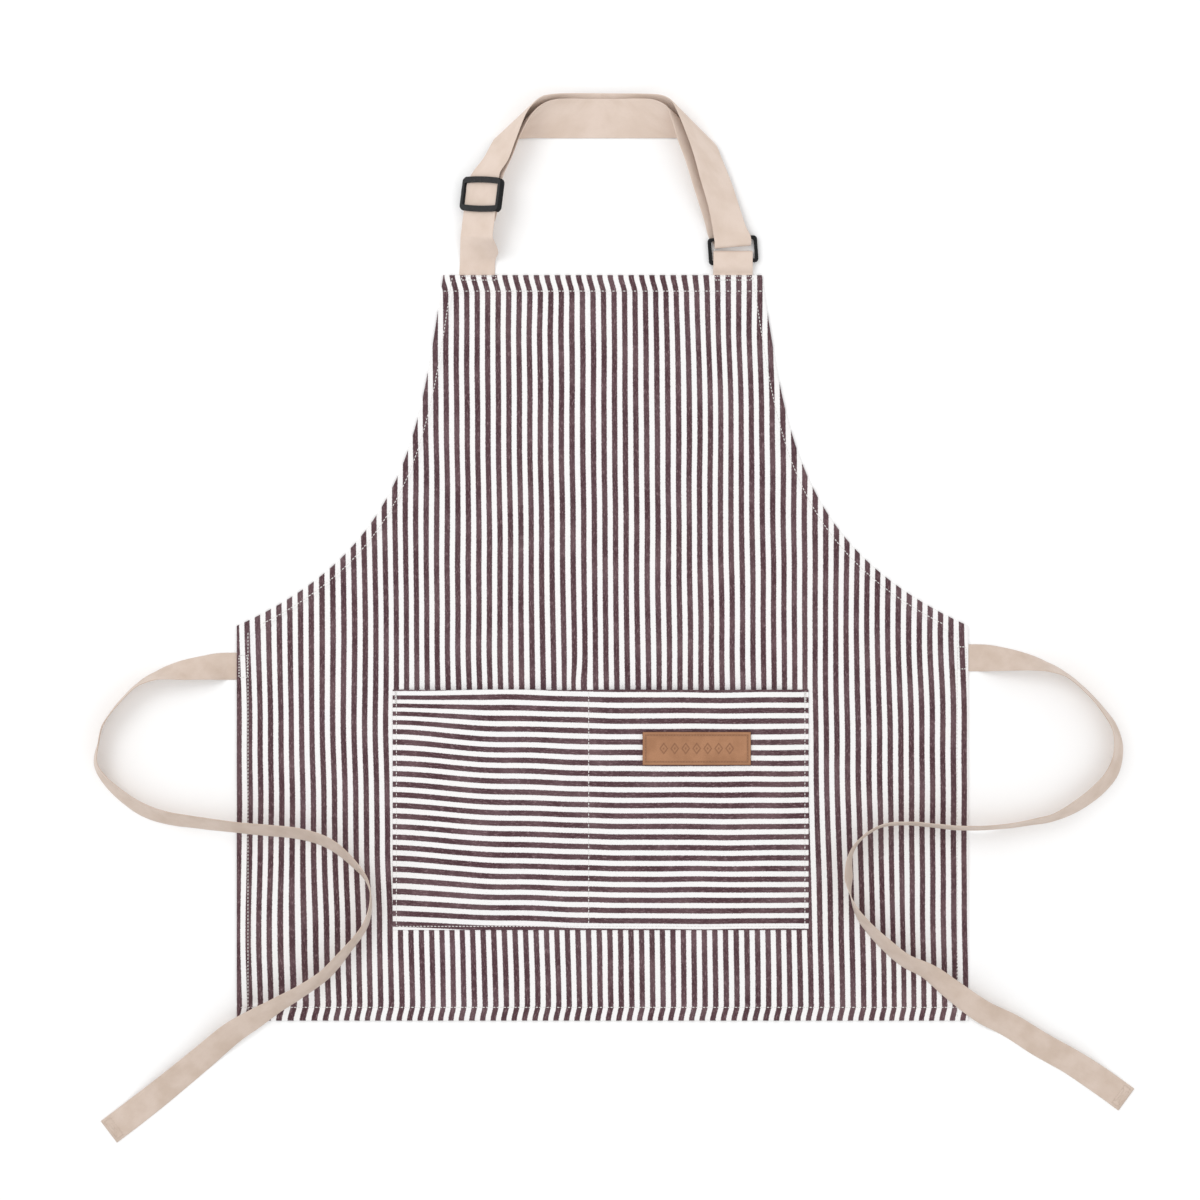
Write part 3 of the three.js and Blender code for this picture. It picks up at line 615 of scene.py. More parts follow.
def panelHeights(x, y, fromSide):
    # upper and lower height of the cloth
    fromTop = bibTopY - y
    fromBottom = y - bottomY
    hems = ((fromSide, sideDepth(y)), (fromTop, hemDepth["top"]), (fromBottom, hemDepth["bottom"]))
    rises = [1 - smooth(depth - 0.7, depth + 2.6, inset) for inset, depth in hems]
    rise = max(rises)
    rim = min(fromSide, fromTop, fromBottom)
    ply = 1 - smooth(-0.3, 0.3, min(inset - depth for inset, depth in hems))
    inPocket = smooth(-8, 2, min(x - pocketLow.x, pocketHigh.x - x, y - pocketLow.y, pocketHigh.y - y))
    underTies = smooth(175, 215, abs(x)) * (1 - smooth(waistY - 30, waistY + 10, y))
    quiet = (1 - inPocket) * (1 - 0.7 * underTies)
    rolling = 0.6 + wave(x, y, 3.1, 85) + 0.5 * wave(x, y, 7.7, 38)
    swell = panel["swell"] * quiet * rolling * smooth(0, 40, rim)
    upper = panel["fieldZ"] + max(swell, -0.1) + rise * (panel["hemZ"] - panel["fieldZ"])
    upper += 0.12 * max(sum(rises) - rise, 0)
    fromSeam = [inset - depth + panel["stitchIn"] for inset, depth in hems]
    seam = max(bell(distance, 1.0) for distance in fromSeam)
    near = max(bell(distance, 9.0) for distance in fromSeam)
    upper -= panel["seamDepth"] * seam
    creases = wave(x, y, 11.3, 7) + 0.6 * wave(x, y, 2.9, 17)
    upper += panel["pucker"] * near * (1 - seam) * creases * (0.4 + 0.6 * rise)
    lower = upper - panel["ply"]
    lower = lower + (panel["underHem"] - lower) * ply
    lift = max(rootLifts(x, y, fromSide))
    lower = max(lower, lift if ply > 0.5 else 0)
    upper = max(upper, lower + panel["thinnest"])
    upper += 0.15 * lift * rise / roots["tabLift"]
    if rim < panel["rim"]:
        # rounded fold along the panel's edge
        share = math.sqrt(max(0.0, 1 - (1 - rim / panel["rim"]) ** 2))
        middle = panel["rimZ"] + 0.6 * lift / roots["tabLift"]
        high = middle + panel["rimHalf"]
        low = middle - panel["rimHalf"]
        upper = high + (upper - high) * share
        lower = min(low, lower) if lift > 0.5 else low + (lower - low) * share
    return upper, max(lower, panel["lowest"])


# how far the stripes wander from straight, in millimetres across the cloth
wander = {
    "drift": 3.7, "driftLength": 660, "lean": 10, "leanLength": 646, "leanPower": 1.4, "footSide": 2.8,
    "waistCorner": 1.8, "bib": 1.4, "waist": 1.6, "waistY": -70, "waistReach": 65, "foot": 1.8, "waver": 1.5,
    "topHem": 3.6, "footHem": 2.88, "mouth": 2.2, "mouthX": -22,
}


def stripePlace(x, y):
    # the cloth's own place: across the stripes, along the stripes
    fromTop = bibTopY - y
    fromBottom = y - bottomY
    across = x + wander["drift"] * smooth(0, wander["driftLength"], fromTop)
    across -= wander["lean"] * (max(fromTop, 0) / wander["leanLength"]) ** wander["leanPower"]
    across += wander["footSide"] * smooth(245, 310, abs(x)) * smooth(200, 380, -y)
    across += wander["waistCorner"] * smooth(240, 335, -x) * smooth(-150, -60, y)
    across += wander["bib"] * smooth(20, 100, x) * smooth(130, 230, y)
    outward = math.copysign(smooth(120, 230, abs(x)), x)
    across += wander["waist"] * outward * bell(y - wander["waistY"], wander["waistReach"])
    across -= wander["foot"] * smooth(120, 200, -x) * (1 - smooth(265, 310, -x)) * smooth(270, 340, -y)
    waver = wave(x, y, 21.0, 150) + 0.5 * wave(x, y, 5.0, 60)
    across += wander["waver"] * waver * smooth(10, 60, fromTop)
    across += wander["topHem"] * (1 - smooth(0, hemDepth["top"] + 1, fromTop)) * (1 - smooth(40, 125, x))
    across += wander["footHem"] * (1 - smooth(0, hemDepth["bottom"] + 1, fromBottom))
    across += wander["mouth"] * bell(x - wander["mouthX"], 9) * bell(y - pocketHigh.y - 4, 16)
    return across * mm, y * mm


armholeRim = [tuple(armholeAt(k / 60)[0]) for k in range(61)]


def insideInset(x, y):
    # distance from the panel's side, good enough away from its hem
    reach = sideX(y, 0) - abs(x)
    if y < waistY - 40:
        return reach
    near = min(math.hypot(p[0] - abs(x), p[1] - y) for p in armholeRim) if reach < 60 else reach
    return max(min(reach, near), 15)


def makePanel():
    edgeSteps = [0, 0.25, 0.8, 1.8, 3.6, 6, 8.4, 9.6, 10.5, 11.3, 11.75, 12.25, 13.4, 14.8, 18]
    endSteps = [0, 0.25, 0.8, 1.8, 4, 7, 10, 12.2, 13.2, 14, 15, 15.8, 16.2, 16.8, 18, 20]
    lowSteps = [0, 0.25, 0.8, 1.8, 4, 7, 9.6, 11.4, 12.5, 13.3, 13.75, 14.25, 15.2, 17, 20]
    rows = [bottomY + step for step in lowSteps]
    rows += [rows[-1] + (waistY - 8 - rows[-1]) * k / 68 for k in range(1, 69)]
    rows += [waistY - 8 + 1.6 * k for k in range(1, 22)]
    above = rows[-1]
    rows += [above + (bibTopY - endSteps[-1] - above) * k / 62 for k in range(1, 62)]
    rows += [bibTopY - step for step in reversed(endSteps)]
    inner = panel["columns"]
    columns = len(edgeSteps) * 2 + inner - 2
    sites = []
    for y in rows:
        scale = sideDepth(y) / hemDepth["side"]
        insets = [step * scale for step in edgeSteps]
        inside = sideX(y, insets[-1])
        middle = [(-inside + 2 * inside * k / inner, None) for k in range(1, inner)]
        left = [(-sideX(y, inset), inset) for inset in insets]
        right = [(sideX(y, inset), inset) for inset in reversed(insets)]
        sites.append(left + middle + right)

    def place(i, j):
        x, inset = sites[j][i]
        y = rows[j]
        if inset is None:
            inset = insideInset(x, y)
        upper, lower = panelHeights(x, y, inset)
        return Vector((x, y, upper)), Vector((x, y, lower))

    def uvPlace(i, j):
        return stripePlace(sites[j][i][0], rows[j])

    area = sum(2 * sideX((a + b) / 2, 0) * (b - a) for a, b in zip(rows, rows[1:]))
    cloth = clothGrid("panel_cloth", columns, len(rows) - 1, place, "striped_cotton", uvPlace, "apron_panel")
    return cloth, area * mm * mm


panelCloth, panelArea = makePanel()
print("stage: panel", len(panelCloth.data.polygons), "faces")

pocket = {
    "seamZ": 2.0, "seamLow": 1.05, "margin": 5, "slope": 24, "puff": 4.1, "ply": 0.75, "foldPly": 0.35,
    "seamIn": 3.4, "seamDepth": 0.35, "pucker": 0.22, "billow": 0.5, "rim": 0.9, "bulge": 0.8,
    "divider": -12.9, "dividerHalf": 2,
    "firstStripe": -6.0, "sag": 2.8, "bow": 7.0, "mouthEase": 1.9, "waver": 0.6,
}
pocketRight, pocketLeft = pocketHigh.x, pocketLow.x
mouthY, pocketBottomY = pocketHigh.y, pocketLow.y

# leather label with a pressed row of lozenges
label = {
    "width": 100.6, "height": 30.8, "x": 87.3, "belowMouth": 54.4, "lowZ": 6.75, "thickness": 1.35,
    "inset": 3, "marks": 7, "pitch": 10.2, "markWide": 4.2, "markTall": 5.7, "press": 0.22, "step": 0.6,
}
labelY = mouthY - label["belowMouth"]


def labelRim(x, y):
    # distance inside the label's edge, from its centre
    return min(label["width"] / 2 - abs(x), label["height"] / 2 - abs(y))


def pocketHeights(x, y):
    fromEdge = min(x - pocketLeft, pocketRight - x)
    fromBottom = y - pocketBottomY
    fromDivider = abs(x - pocket["divider"]) - pocket["dividerHalf"]
    sides = smooth(pocket["margin"] - 0.5, pocket["margin"] + pocket["slope"], min(fromEdge, fromBottom))
    split = smooth(0, pocket["slope"], fromDivider)
    puff = pocket["puff"] * min(sides, split) * (0.9 + 0.1 * smooth(0, 60, min(fromEdge, fromDivider)))
    upper = pocket["seamZ"] + puff
    edgeSeam = max(bell(fromEdge - pocket["seamIn"], 0.9), bell(fromBottom - pocket["seamIn"], 0.9))
    edgeSeam = max(edgeSeam, 0.8 * bell(x - pocket["divider"], 0.9))
    near = max(bell(min(fromEdge, fromBottom), 12), bell(fromDivider, 12))
    underLabel = smooth(-6, 4, labelRim(x - label["x"], y - labelY))
    upper += pocket["pucker"] * near * (wave(x, y, 4.4, 8) + 0.6 * wave(x, y, 9.1, 18)) * (1 - edgeSeam)
    upper += pocket["billow"] * min(sides, split) * wave(x, y, 14.2, 48) * (1 - underLabel)
    upper -= pocket["seamDepth"] * edgeSeam
    mouth = mouthY - y
    upper += 0.12 * (1 - smooth(18, 21, mouth))
    lower = upper - pocket["ply"] - pocket["foldPly"] * (1 - smooth(18, 18.6, mouth))
    rim = min(fromEdge, fromBottom, mouth)
    if rim < pocket["rim"]:
        share = math.sqrt(max(0.0, 1 - (1 - rim / pocket["rim"]) ** 2))
        middle = (upper + lower) / 2
        kept = (upper - lower) / 2 * (0.25 + 0.75 * share)
        upper, lower = middle + kept, middle - kept
    return upper, max(lower, pocket["seamLow"])


def pocketStripes(x, y):
    # stripes run across the pocket and bow up towards its left side
    share = (y - pocketBottomY) / (mouthY - pocketBottomY)
    shift = pocket["sag"] * smooth(-95, 20, x)
    lift = 1 - smooth(-200, -88, x)
    shift -= pocket["bow"] * lift * (1 - smooth(0.8, 1.02, share)) * (0.55 + 0.45 * smooth(0, 0.35, share))
    shift += pocket["mouthEase"] * lift * smooth(0.9, 1.0, share)
    shift += pocket["waver"] * wave(x, y, 31.0, 46)
    down = mouthY - y + pocket["firstStripe"] - shift
    return down * mm, x * mm


def spread(a, b, count):
    # the places between two ends
    return [a + (b - a) * k / count for k in range(1, count)]


def makePocket():
    edges = [0, 0.3, 0.9, 1.8, 2.7, 3.4, 4.1, 5, 6.5, 9, 12, 16, 20, 24, 29]
    left = [pocketLeft + step for step in edges]
    right = [pocketRight - step for step in reversed(edges)]
    half = [1, 2, 3, 5, 8, 12, 17, 22, 27]
    seam = [pocket["divider"] + step for step in [-step for step in reversed(half)] + [0] + half]
    xs = left + spread(left[-1], seam[0], 30) + seam + spread(seam[-1], right[0], 36) + right
    foot = [pocketBottomY + step for step in edges]
    top = [mouthY - step for step in (24, 21.5, 20, 19.2, 18.6, 18, 16, 12, 8, 4, 2, 0.9, 0.3, 0)]
    ys = foot + spread(foot[-1], top[0], 44) + top

    def place(i, j):
        upper, lower = pocketHeights(xs[i], ys[j])
        bulge = pocket["bulge"] * wave(xs[i], 0, 17.0, 60) * smooth(mouthY - 30, mouthY, ys[j])
        inside = smooth(0, 12, min(xs[i] - pocketLeft, pocketRight - xs[i]))
        y = ys[j] + bulge * inside
        return Vector((xs[i], y, upper)), Vector((xs[i], y, lower))

    def uvPlace(i, j):
        return pocketStripes(xs[i], ys[j])

    columns, rows = len(xs) - 1, len(ys) - 1
    return clothGrid("pocket_cloth", columns, rows, place, "striped_cotton", uvPlace, "pocket_panel")


pocketCloth = makePocket()
print("stage: pocket")

webbing = {"thickness": 0.9, "half": 18.25, "perSpan": 6, "ripple": 0.1}
slider = {
    "x": -111, "aboveBib": 72.5, "z": 17.387, "lean": 7, "roll": 34, "half": 21.8, "inner": 19, "length": 33,
    "bar": 5.6, "centreBar": 5, "thickness": 1.8, "railDepth": 3.15, "highZ": 4.1, "corner": 4.5, "bow": 0.9,
    "edge": 0.5,
}
sliderFrame = Matrix.Translation((slider["x"], bibTopY + slider["aboveBib"], slider["z"])) @ Matrix.Rotation(
    math.radians(-slider["lean"]), 4, "Z") @ Matrix.Rotation(math.radians(-slider["roll"]), 4, "Y")


def onSlider(along, out, left=webbing["half"], right=webbing["half"]):
    return sliderFrame @ Vector((-left, along, out)), sliderFrame @ Vector((right, along, out))


def fromBib(ax, ay, az, bx, by, bz):
    return Vector((ax, bibTopY + ay, az)), Vector((bx, bibTopY + by, bz))


# neck strap: pairs of edge points along it, the outer edge and the inner one, from its root behind the bib
strapRoot = [
    (-133.25, -13.5, 0.55, -100.2, -13.5, 0.55), (-133.25, 0, 0.55, -100.2, 0, 0.55),
    (-132.65, 10, 0.9, -99.6, 13.5, 3), (-132.25, 21, 3.2, -96.6, 20, 11.5),
]
# along the slider's rails, from below it to above: place along it, height and the two half widths
intoSlider = [
    (-39.5, 1.3, 18.25, 19), (-36.5, 1.3), (-32.5, 1.3), (-18.25, 1.3), (0, 1.3), (10, 1.3),
    (20, 1.3, 13.5, 17.7),
]
# up and over the left corner, across, down to the ring's upper bar, round it and back inside the first run
roundTheNeck = [
    (-110, 108, 9.2, -86.8, 103, 30.5), (-103.5, 120.5, 6.5, -79.6, 122, 31),
    (-101.5, 124, 5.2, -68.6, 148.6, 29), (-101.6, 124.6, 3.6, -57.2, 161.2, 25.5),
    (-98, 126, 1, -47, 165, 19), (-86, 130, 0.6, -31, 167.2, 12), (-55, 132.2, 0.6, -12, 167.8, 8.5),
    (0, 132.2, 0.6, 0, 167.8, 8), (58, 132.2, 0.6, 18, 167.6, 8.5), (90, 130, 0.6, 36, 166.8, 12),
    (102, 124, 1, 53.8, 164.3, 19), (106, 119.5, 3.6, 63, 158.5, 25.5), (107.5, 116, 5.2, 68.8, 147.6, 27),
    (110, 109, 6, 76.3, 130, 27), (115, 97, 6.5, 83.2, 111, 26), (121, 81, 6.5, 90.5, 85, 24),
    (128, 59, 7.5, 97.5, 62, 19), (133.5, 43, 8.4, 101.5, 44, 12), (137.05, 36, 8.6, 103.2, 34, 8.8),
    (137.75, 32.3, 8.35, 103.9, 29.4, 8.35), (137.75, 28.4, 7.375, 103.9, 25.4, 7.375),
    (137.75, 27.6, 4.45, 103.9, 24.6, 4.45), (137.75, 28.4, 1.525, 103.9, 25.4, 1.525),
    (137.05, 32.3, 0.55, 102.8, 29.4, 0.55), (135.5, 37, 0.55, 99.2, 34, 0.55),
    (129, 52, 0.55, 94.2, 50, 7.5), (119.5, 75, 0.55, 84.6, 78, 17.5), (111, 97, 0.8, 76.6, 103, 21.5),
    (105, 111, 1.6, 68.6, 124.6, 23.5), (101.5, 117, 2.8, 63, 143.4, 22.5), (99, 120.5, 2.9, 59, 153.6, 20),
    (93, 124.5, 2.2, 48, 160, 18), (72, 127.2, 1.4, 32, 161.8, 14.5), (45, 127.4, 0.8, 16, 162, 12),
    (0, 127.4, 0.8, 0, 162, 11.5), (-45, 127.4, 0.8, -14, 162, 12), (-70, 127.2, 1.4, -29, 161.8, 14.5),
    (-88, 125, 2.2, -44, 160.4, 18), (-94.5, 121.5, 2.9, -53, 157, 20.5),
    (-96.5, 118.5, 2.9, -61.5, 150, 24.2), (-99, 113, 3.2, -74.2, 129, 27.3),
    (-103, 103, 4, -83.4, 106.5, 26.6),
]
# under the slider's centre bar and back over it
backToBar = [
    (17, -3.4, 15.5, 18.25), (8, -3.4), (-12.25, -3.4, 18.25, 17), (-23, -3.4, 18.25, 15.5),
    (-24.5, -1.75, 18.25, 15.5), (-23, -0.1, 18.25, 15.5), (-12.25, -0.1, 18.25, 17), (4, -0.1), (9, -0.1),
]
strapStations = [fromBib(*pair) for pair in strapRoot] + [onSlider(*pair) for pair in intoSlider]
strapStations += [fromBib(*pair) for pair in roundTheNeck] + [onSlider(*pair) for pair in backToBar]
# places across the webbing, and its thickness from either selvedge inwards
webbingShares = [0, 0.012, 0.035, 0.09, 0.2, 0.35, 0.5, 0.65, 0.8, 0.91, 0.965, 0.988, 1]
webbingProfile = [0.45, 0.85, 1.08, 1, 1, 1, 1]


def makeRibbon(name, stations, seed):
    thickness = webbing["thickness"]
    lines = [[pair[side] for pair in stations] for side in (0, 1)]
    count = webbing["perSpan"] * (len(stations) - 1)
    rows = []
    length = 0.0
    for k in range(count + 1):
        a, b = (curveAt(line, k / count) for line in lines)
        for point in (a, b):
            point.z = max(point.z, thickness / 2 + 0.05)
        if rows:
            length += ((a + b) / 2 - (rows[-1][0] + rows[-1][1]) / 2).length
        rows.append((a, b, length))
    faces = []
    for k in range(count + 1):
        before, after = rows[max(k - 1, 0)], rows[min(k + 1, count)]
        along = (after[0] + after[1] - before[0] - before[1]).normalized()
        faces.append((rows[k][1] - rows[k][0]).cross(along).normalized())

    def place(i, j):
        a, b, along = rows[j]
        share = webbingShares[i]
        point = a.lerp(b, share) + faces[j] * (webbing["ripple"] * wave(along, share * 30, seed, 9))
        depth = faces[j] * (thickness / 2 * webbingProfile[min(i, len(webbingShares) - 1 - i)])
        return point + depth, point - depth

    def uvPlace(i, j):
        return ((webbingShares[i] - 0.5) * roots["width"] * mm, rows[j][2] * mm)

    clothGrid(name + "_webbing", len(webbingShares) - 1, count, place, "webbing", uvPlace, name)
    return length


strapLength = makeRibbon("neck_strap", strapStations, 1.7)
tabProfile = [
    (-13.5, 0.55), (0, 0.55), (16.5, 0.55), (20.5, 1.15), (22, 2.975), (20.5, 5.0), (16.5, 5.4), (7.5, 5.4),
    (4.6, 4.2), (1.5, 1.8), (0, 1.7), (-13.5, 1.7),
]
tabEdges = (roots["tabX"] - webbing["half"], roots["tabX"] + webbing["half"])
tabStations = [fromBib(tabEdges[0], y, z, tabEdges[1], y, z) for y, z in tabProfile]
tabLength = makeRibbon("ring_tab", tabStations, 6.2)
print("stage: neck strap", round(strapLength), "and ring tab", round(tabLength))


def sharpEdges(bm, angle):
    return [edge for edge in bm.edges if edge.is_manifold and edge.calc_face_angle() > math.radians(angle)]


def roundEdges(bm, edges, radius, segments):
    bmesh.ops.bevel(
        bm, geom=edges, affect="EDGES", offset=radius, offset_type="OFFSET", segments=segments, profile=0.5,
        material=-1, clamp_overlap=True)


def frameBlank(bm, xs, ys, gone, topZ, depth):
    # a plate with a window, its cells cut at the given lines
    cells = bmesh.ops.create_grid(bm, x_segments=len(xs) - 1, y_segments=len(ys) - 1, size=0.5)["verts"]
    for vert in cells:
        i = round((vert.co.x + 0.5) * (len(xs) - 1))
        j = round((vert.co.y + 0.5) * (len(ys) - 1))
        vert.co = (xs[i], ys[j], topZ)
    window = [face for face in bm.faces if gone(face.calc_center_median())]
    bmesh.ops.delete(bm, geom=window, context="FACES")
    lowered = bmesh.ops.extrude_face_region(bm, geom=list(bm.faces))["geom"]
    verts = [item for item in lowered if isinstance(item, bmesh.types.BMVert)]
    bmesh.ops.translate(bm, verts=verts, vec=(0, 0, -depth))


# how near two places in millimetres count as the same
samePlace = 1e-3


def uprightEdges(bm, test):
    found = []
    for edge in bm.edges:
        a, b = (vert.co for vert in edge.verts)
        if abs(a.x - b.x) < samePlace and abs(a.y - b.y) < samePlace and test(a):
            found.append(edge)
    return found


def atCorner(c, x, y):
    return abs(abs(c.x) - x) < samePlace and abs(abs(c.y) - y) < samePlace


def makeSlider():
    bm = bmesh.new()
    half, inner, endY, barY = slider["half"], slider["inner"], slider["length"] / 2, slider["centreBar"] / 2
    innerY = endY - slider["bar"]
    frameBlank(
        bm, [-half, -inner, inner, half], [-endY, -innerY, -barY, barY, innerY, endY],
        lambda c: abs(c.x) < inner and abs(c.y) < innerY, slider["highZ"], slider["thickness"])
    for depth in (slider["railDepth"], slider["thickness"]):
        low = min(vert.co.z for vert in bm.verts)
        rails = [face for face in bm.faces if abs(face.calc_center_median().x) > inner
                 and all(abs(vert.co.z - low) < samePlace for vert in face.verts)]
        dropped = bmesh.ops.extrude_face_region(bm, geom=rails)["geom"]
        verts = [item for item in dropped if isinstance(item, bmesh.types.BMVert)]
        bmesh.ops.translate(bm, verts=verts, vec=(0, 0, -depth))
    low = min(vert.co.z for vert in bm.verts)

    def isSeat(c):
        return abs(abs(c.x) - inner) < samePlace and abs(c.y) < 0.1 and c.z < low + slider["thickness"]

    seats = [face for face in bm.faces if isSeat(face.calc_center_median())]
    # the centre bar joins the two rails
    rims = list({edge for face in seats for edge in face.edges})
    bmesh.ops.delete(bm, geom=seats, context="FACES_ONLY")
    bmesh.ops.bridge_loops(bm, edges=rims)
    bmesh.ops.recalc_face_normals(bm, faces=bm.faces)
    corners = uprightEdges(bm, lambda c: atCorner(c, half, endY))
    roundEdges(bm, corners, slider["corner"], 6)
    # pull the square corners in to a round outline
    reach = slider["corner"]
    for vert in bm.verts:
        u = (abs(vert.co.x) - half) / reach + 1
        v = (abs(vert.co.y) - endY) / reach + 1
        if u > 0 and v > 0:
            vert.co.x = math.copysign(half + (u * math.sqrt(1 - v * v / 2) - 1) * reach, vert.co.x)
            vert.co.y = math.copysign(endY + (v * math.sqrt(1 - u * u / 2) - 1) * reach, vert.co.y)
    for x in (-14, -7, 0, 7, 14):
        everything = bm.verts[:] + bm.edges[:] + bm.faces[:]
        bmesh.ops.bisect_plane(bm, geom=everything, plane_co=(x, 0, 0), plane_no=(1, 0, 0))
    for vert in bm.verts:
        if abs(vert.co.y) > innerY - 0.01:
            bow = slider["bow"] * (min(abs(vert.co.x), inner) / inner) ** 2
            vert.co.y -= math.copysign(bow, vert.co.y)
    roundEdges(bm, sharpEdges(bm, 28), slider["edge"], 3)
    bmesh.ops.transform(bm, verts=bm.verts, matrix=Matrix.Scale(mm, 4) @ sliderFrame)
    bmesh.ops.recalc_face_normals(bm, faces=bm.faces)
    finishPiece("slider_body", bm, "black_plastic", "strap_slider", "slider")


ring = {
    "half": 23, "halfLength": 12.4, "bar": 3.2, "thickness": 3, "aboveBib": 22.9, "z": 2.9, "turn": 4,
    "corner": 5, "insideCorner": 1.6, "edge": 1.05,
}


def makeRing():
    bm = bmesh.new()
    x, y, bar = ring["half"], ring["halfLength"], ring["bar"]
    frameBlank(
        bm, [-x, bar - x, x - bar, x], [-y, bar - y, y - bar, y],
        lambda c: abs(c.x) < x - bar and abs(c.y) < y - bar, ring["thickness"] / 2, ring["thickness"])
    bmesh.ops.recalc_face_normals(bm, faces=bm.faces)
    outside = uprightEdges(bm, lambda c: atCorner(c, x, y))
    roundEdges(bm, outside, ring["corner"], 6)
    inside = uprightEdges(bm, lambda c: abs(c.x) < x - bar + 0.01 and abs(c.y) < y - bar + 0.01)
    roundEdges(bm, inside, ring["insideCorner"], 4)
    roundEdges(bm, sharpEdges(bm, 28), ring["edge"], 4)
    turned = Matrix.Translation((roots["tabX"], bibTopY + ring["aboveBib"], ring["z"])) @ Matrix.Rotation(
        math.radians(ring["turn"]), 4, "Z")
    bmesh.ops.transform(bm, verts=bm.verts, matrix=Matrix.Scale(mm, 4) @ turned)
    bmesh.ops.recalc_face_normals(bm, faces=bm.faces)
    finishPiece("ring_body", bm, "black_plastic", "strap_ring", "ring")


makeSlider()
makeRing()
print("stage: slider and ring")


def labelPress(x, y):
    # 1 in the pressed lines, 0 on the face
    span = (label["marks"] - 1) * label["pitch"] / 2
    nearest = min(max(round((x + span) / label["pitch"]), 0), label["marks"] - 1) * label["pitch"] - span
    size = abs(x - nearest) / label["markWide"] + abs(y) / label["markTall"]
    ringShare = smooth(0.62, 0.72, size) * (1 - smooth(0.93, 1.03, size))
    dot = 1 - smooth(0.16, 0.26, size)
    return max(ringShare, dot)


def makeLabel():
    columns = round(label["width"] / label["step"])
    rows = round(label["height"] / label["step"])

    def spot(i, j):
        return label["width"] * (i / columns - 0.5), label["height"] * (j / rows - 0.5)

    def place(i, j):
        x, y = spot(i, j)
        rim = labelRim(x, y)
        channel = bell(rim - label["inset"], 0.6)
        upper = label["lowZ"] + label["thickness"] - label["press"] * labelPress(x, y) - 0.16 * channel
        upper -= 0.35 * (1 - smooth(0, 1.2, rim)) - 0.05 * wave(x, y, 5.5, 9)
        bend = 0.12 * wave(x, y, 8.1, 60)
        low = label["lowZ"] + (0.3 if rim < 0.1 else 0)
        shrink = 0.12 * (1 - smooth(0, 1, rim))
        px = label["x"] + x - math.copysign(shrink, x) + 0.15 * wave(0, y, 3.3, 12) * (rim < 1)
        py = labelY + y + 0.12 * wave(x, 0, 6.3, 14) * (rim < 1)
        return Vector((px, py, upper + bend)), Vector((px, py, low + bend * 0.3))

    def uvPlace(i, j):
        x, y = spot(i, j)
        return x * mm, y * mm

    piece = clothGrid("label_patch", columns, rows, place, "label_leather", uvPlace, "leather_label")
    pressed = piece.data.attributes.new("pressed", "FLOAT", "POINT")
    for k, vert in enumerate(piece.data.vertices):
        x, y = vert.co.x / mm - label["x"], vert.co.y / mm - labelY
        rim = labelRim(x, y)
        channel = bell(rim - label["inset"], 0.8)
        pressed.data[k].value = max(0.75 * labelPress(x, y), 0.8 * channel, 0.85 * (1 - smooth(0, 0.9, rim)))


makeLabel()
print("stage: label")

stitch = {"pitch": 3.3, "length": 2.75, "width": 1.05, "height": 0.46, "above": 0.02}
rootStitch = {"pitch": 2.6, "length": 2.1}
labelStitch = {"pitch": 2.7, "length": 1.9, "width": 0.6}
tack = {"count": 15, "step": 0.72, "half": 1.3, "slant": 0.5, "above": 0.45, "width": 0.75, "height": 0.6}
endStitch = {"pitch": 2.5, "half": 10, "near": 2.2, "far": 9.8, "width": 0.6, "height": 0.4}


def addStitch(bm, a, b, width, height):
    ahead = b - a
    turn = ahead.to_track_quat("X", "Z").to_matrix().to_4x4()
    shape = Matrix.Translation((a + b) / 2) @ turn @ Matrix.Diagonal((ahead.length, width, height, 1))
    bmesh.ops.create_uvsphere(bm, u_segments=6, v_segments=4, radius=0.5, matrix=Matrix.Scale(mm, 4) @ shape)


def seam(name, route, surface, seed, materialName="white_thread", **sizes):
    # stitches along a run of plan points, each lying on the surface
    bm = bmesh.new()
    sizes = {**stitch, **sizes}
    rng = random.Random(seed)
    marks = [0.0]
    for a, b in zip(route, route[1:]):
        marks.append(marks[-1] + math.hypot(b[0] - a[0], b[1] - a[1]))

    def spot(distance):
        k = 0
        while k < len(marks) - 2 and marks[k + 1] < distance:
            k += 1
        share = (distance - marks[k]) / max(marks[k + 1] - marks[k], 1e-6)
        return Vector(route[k]).lerp(Vector(route[k + 1]), share)

    count = max(1, int(marks[-1] / sizes["pitch"]))
    for n in range(count):
        start = (n + 0.12) * marks[-1] / count
        a, b = spot(start), spot(min(start + sizes["length"], marks[-1]))
        side = Vector((-(b - a).y, (b - a).x)).normalized() * 0.1
        a = a + side * rng.uniform(0.2, 1.2)
        b = b - side * rng.uniform(0.2, 1.2)
        a, b = (Vector((end.x, end.y, surface(end.x, end.y) + stitch["above"])) for end in (a, b))
        addStitch(bm, a, b, sizes["width"] * rng.uniform(0.9, 1.1), stitch["height"])
    return threadPiece(name + "_stitches", bm, materialName, name + "_stitching")


def threadPiece(name, bm, materialName, node):
    bmesh.ops.recalc_face_normals(bm, faces=bm.faces)
    return finishPiece(name, bm, materialName, node)


def panelSurface(inset):
    return lambda x, y: panelHeights(x, y, inset)[0]


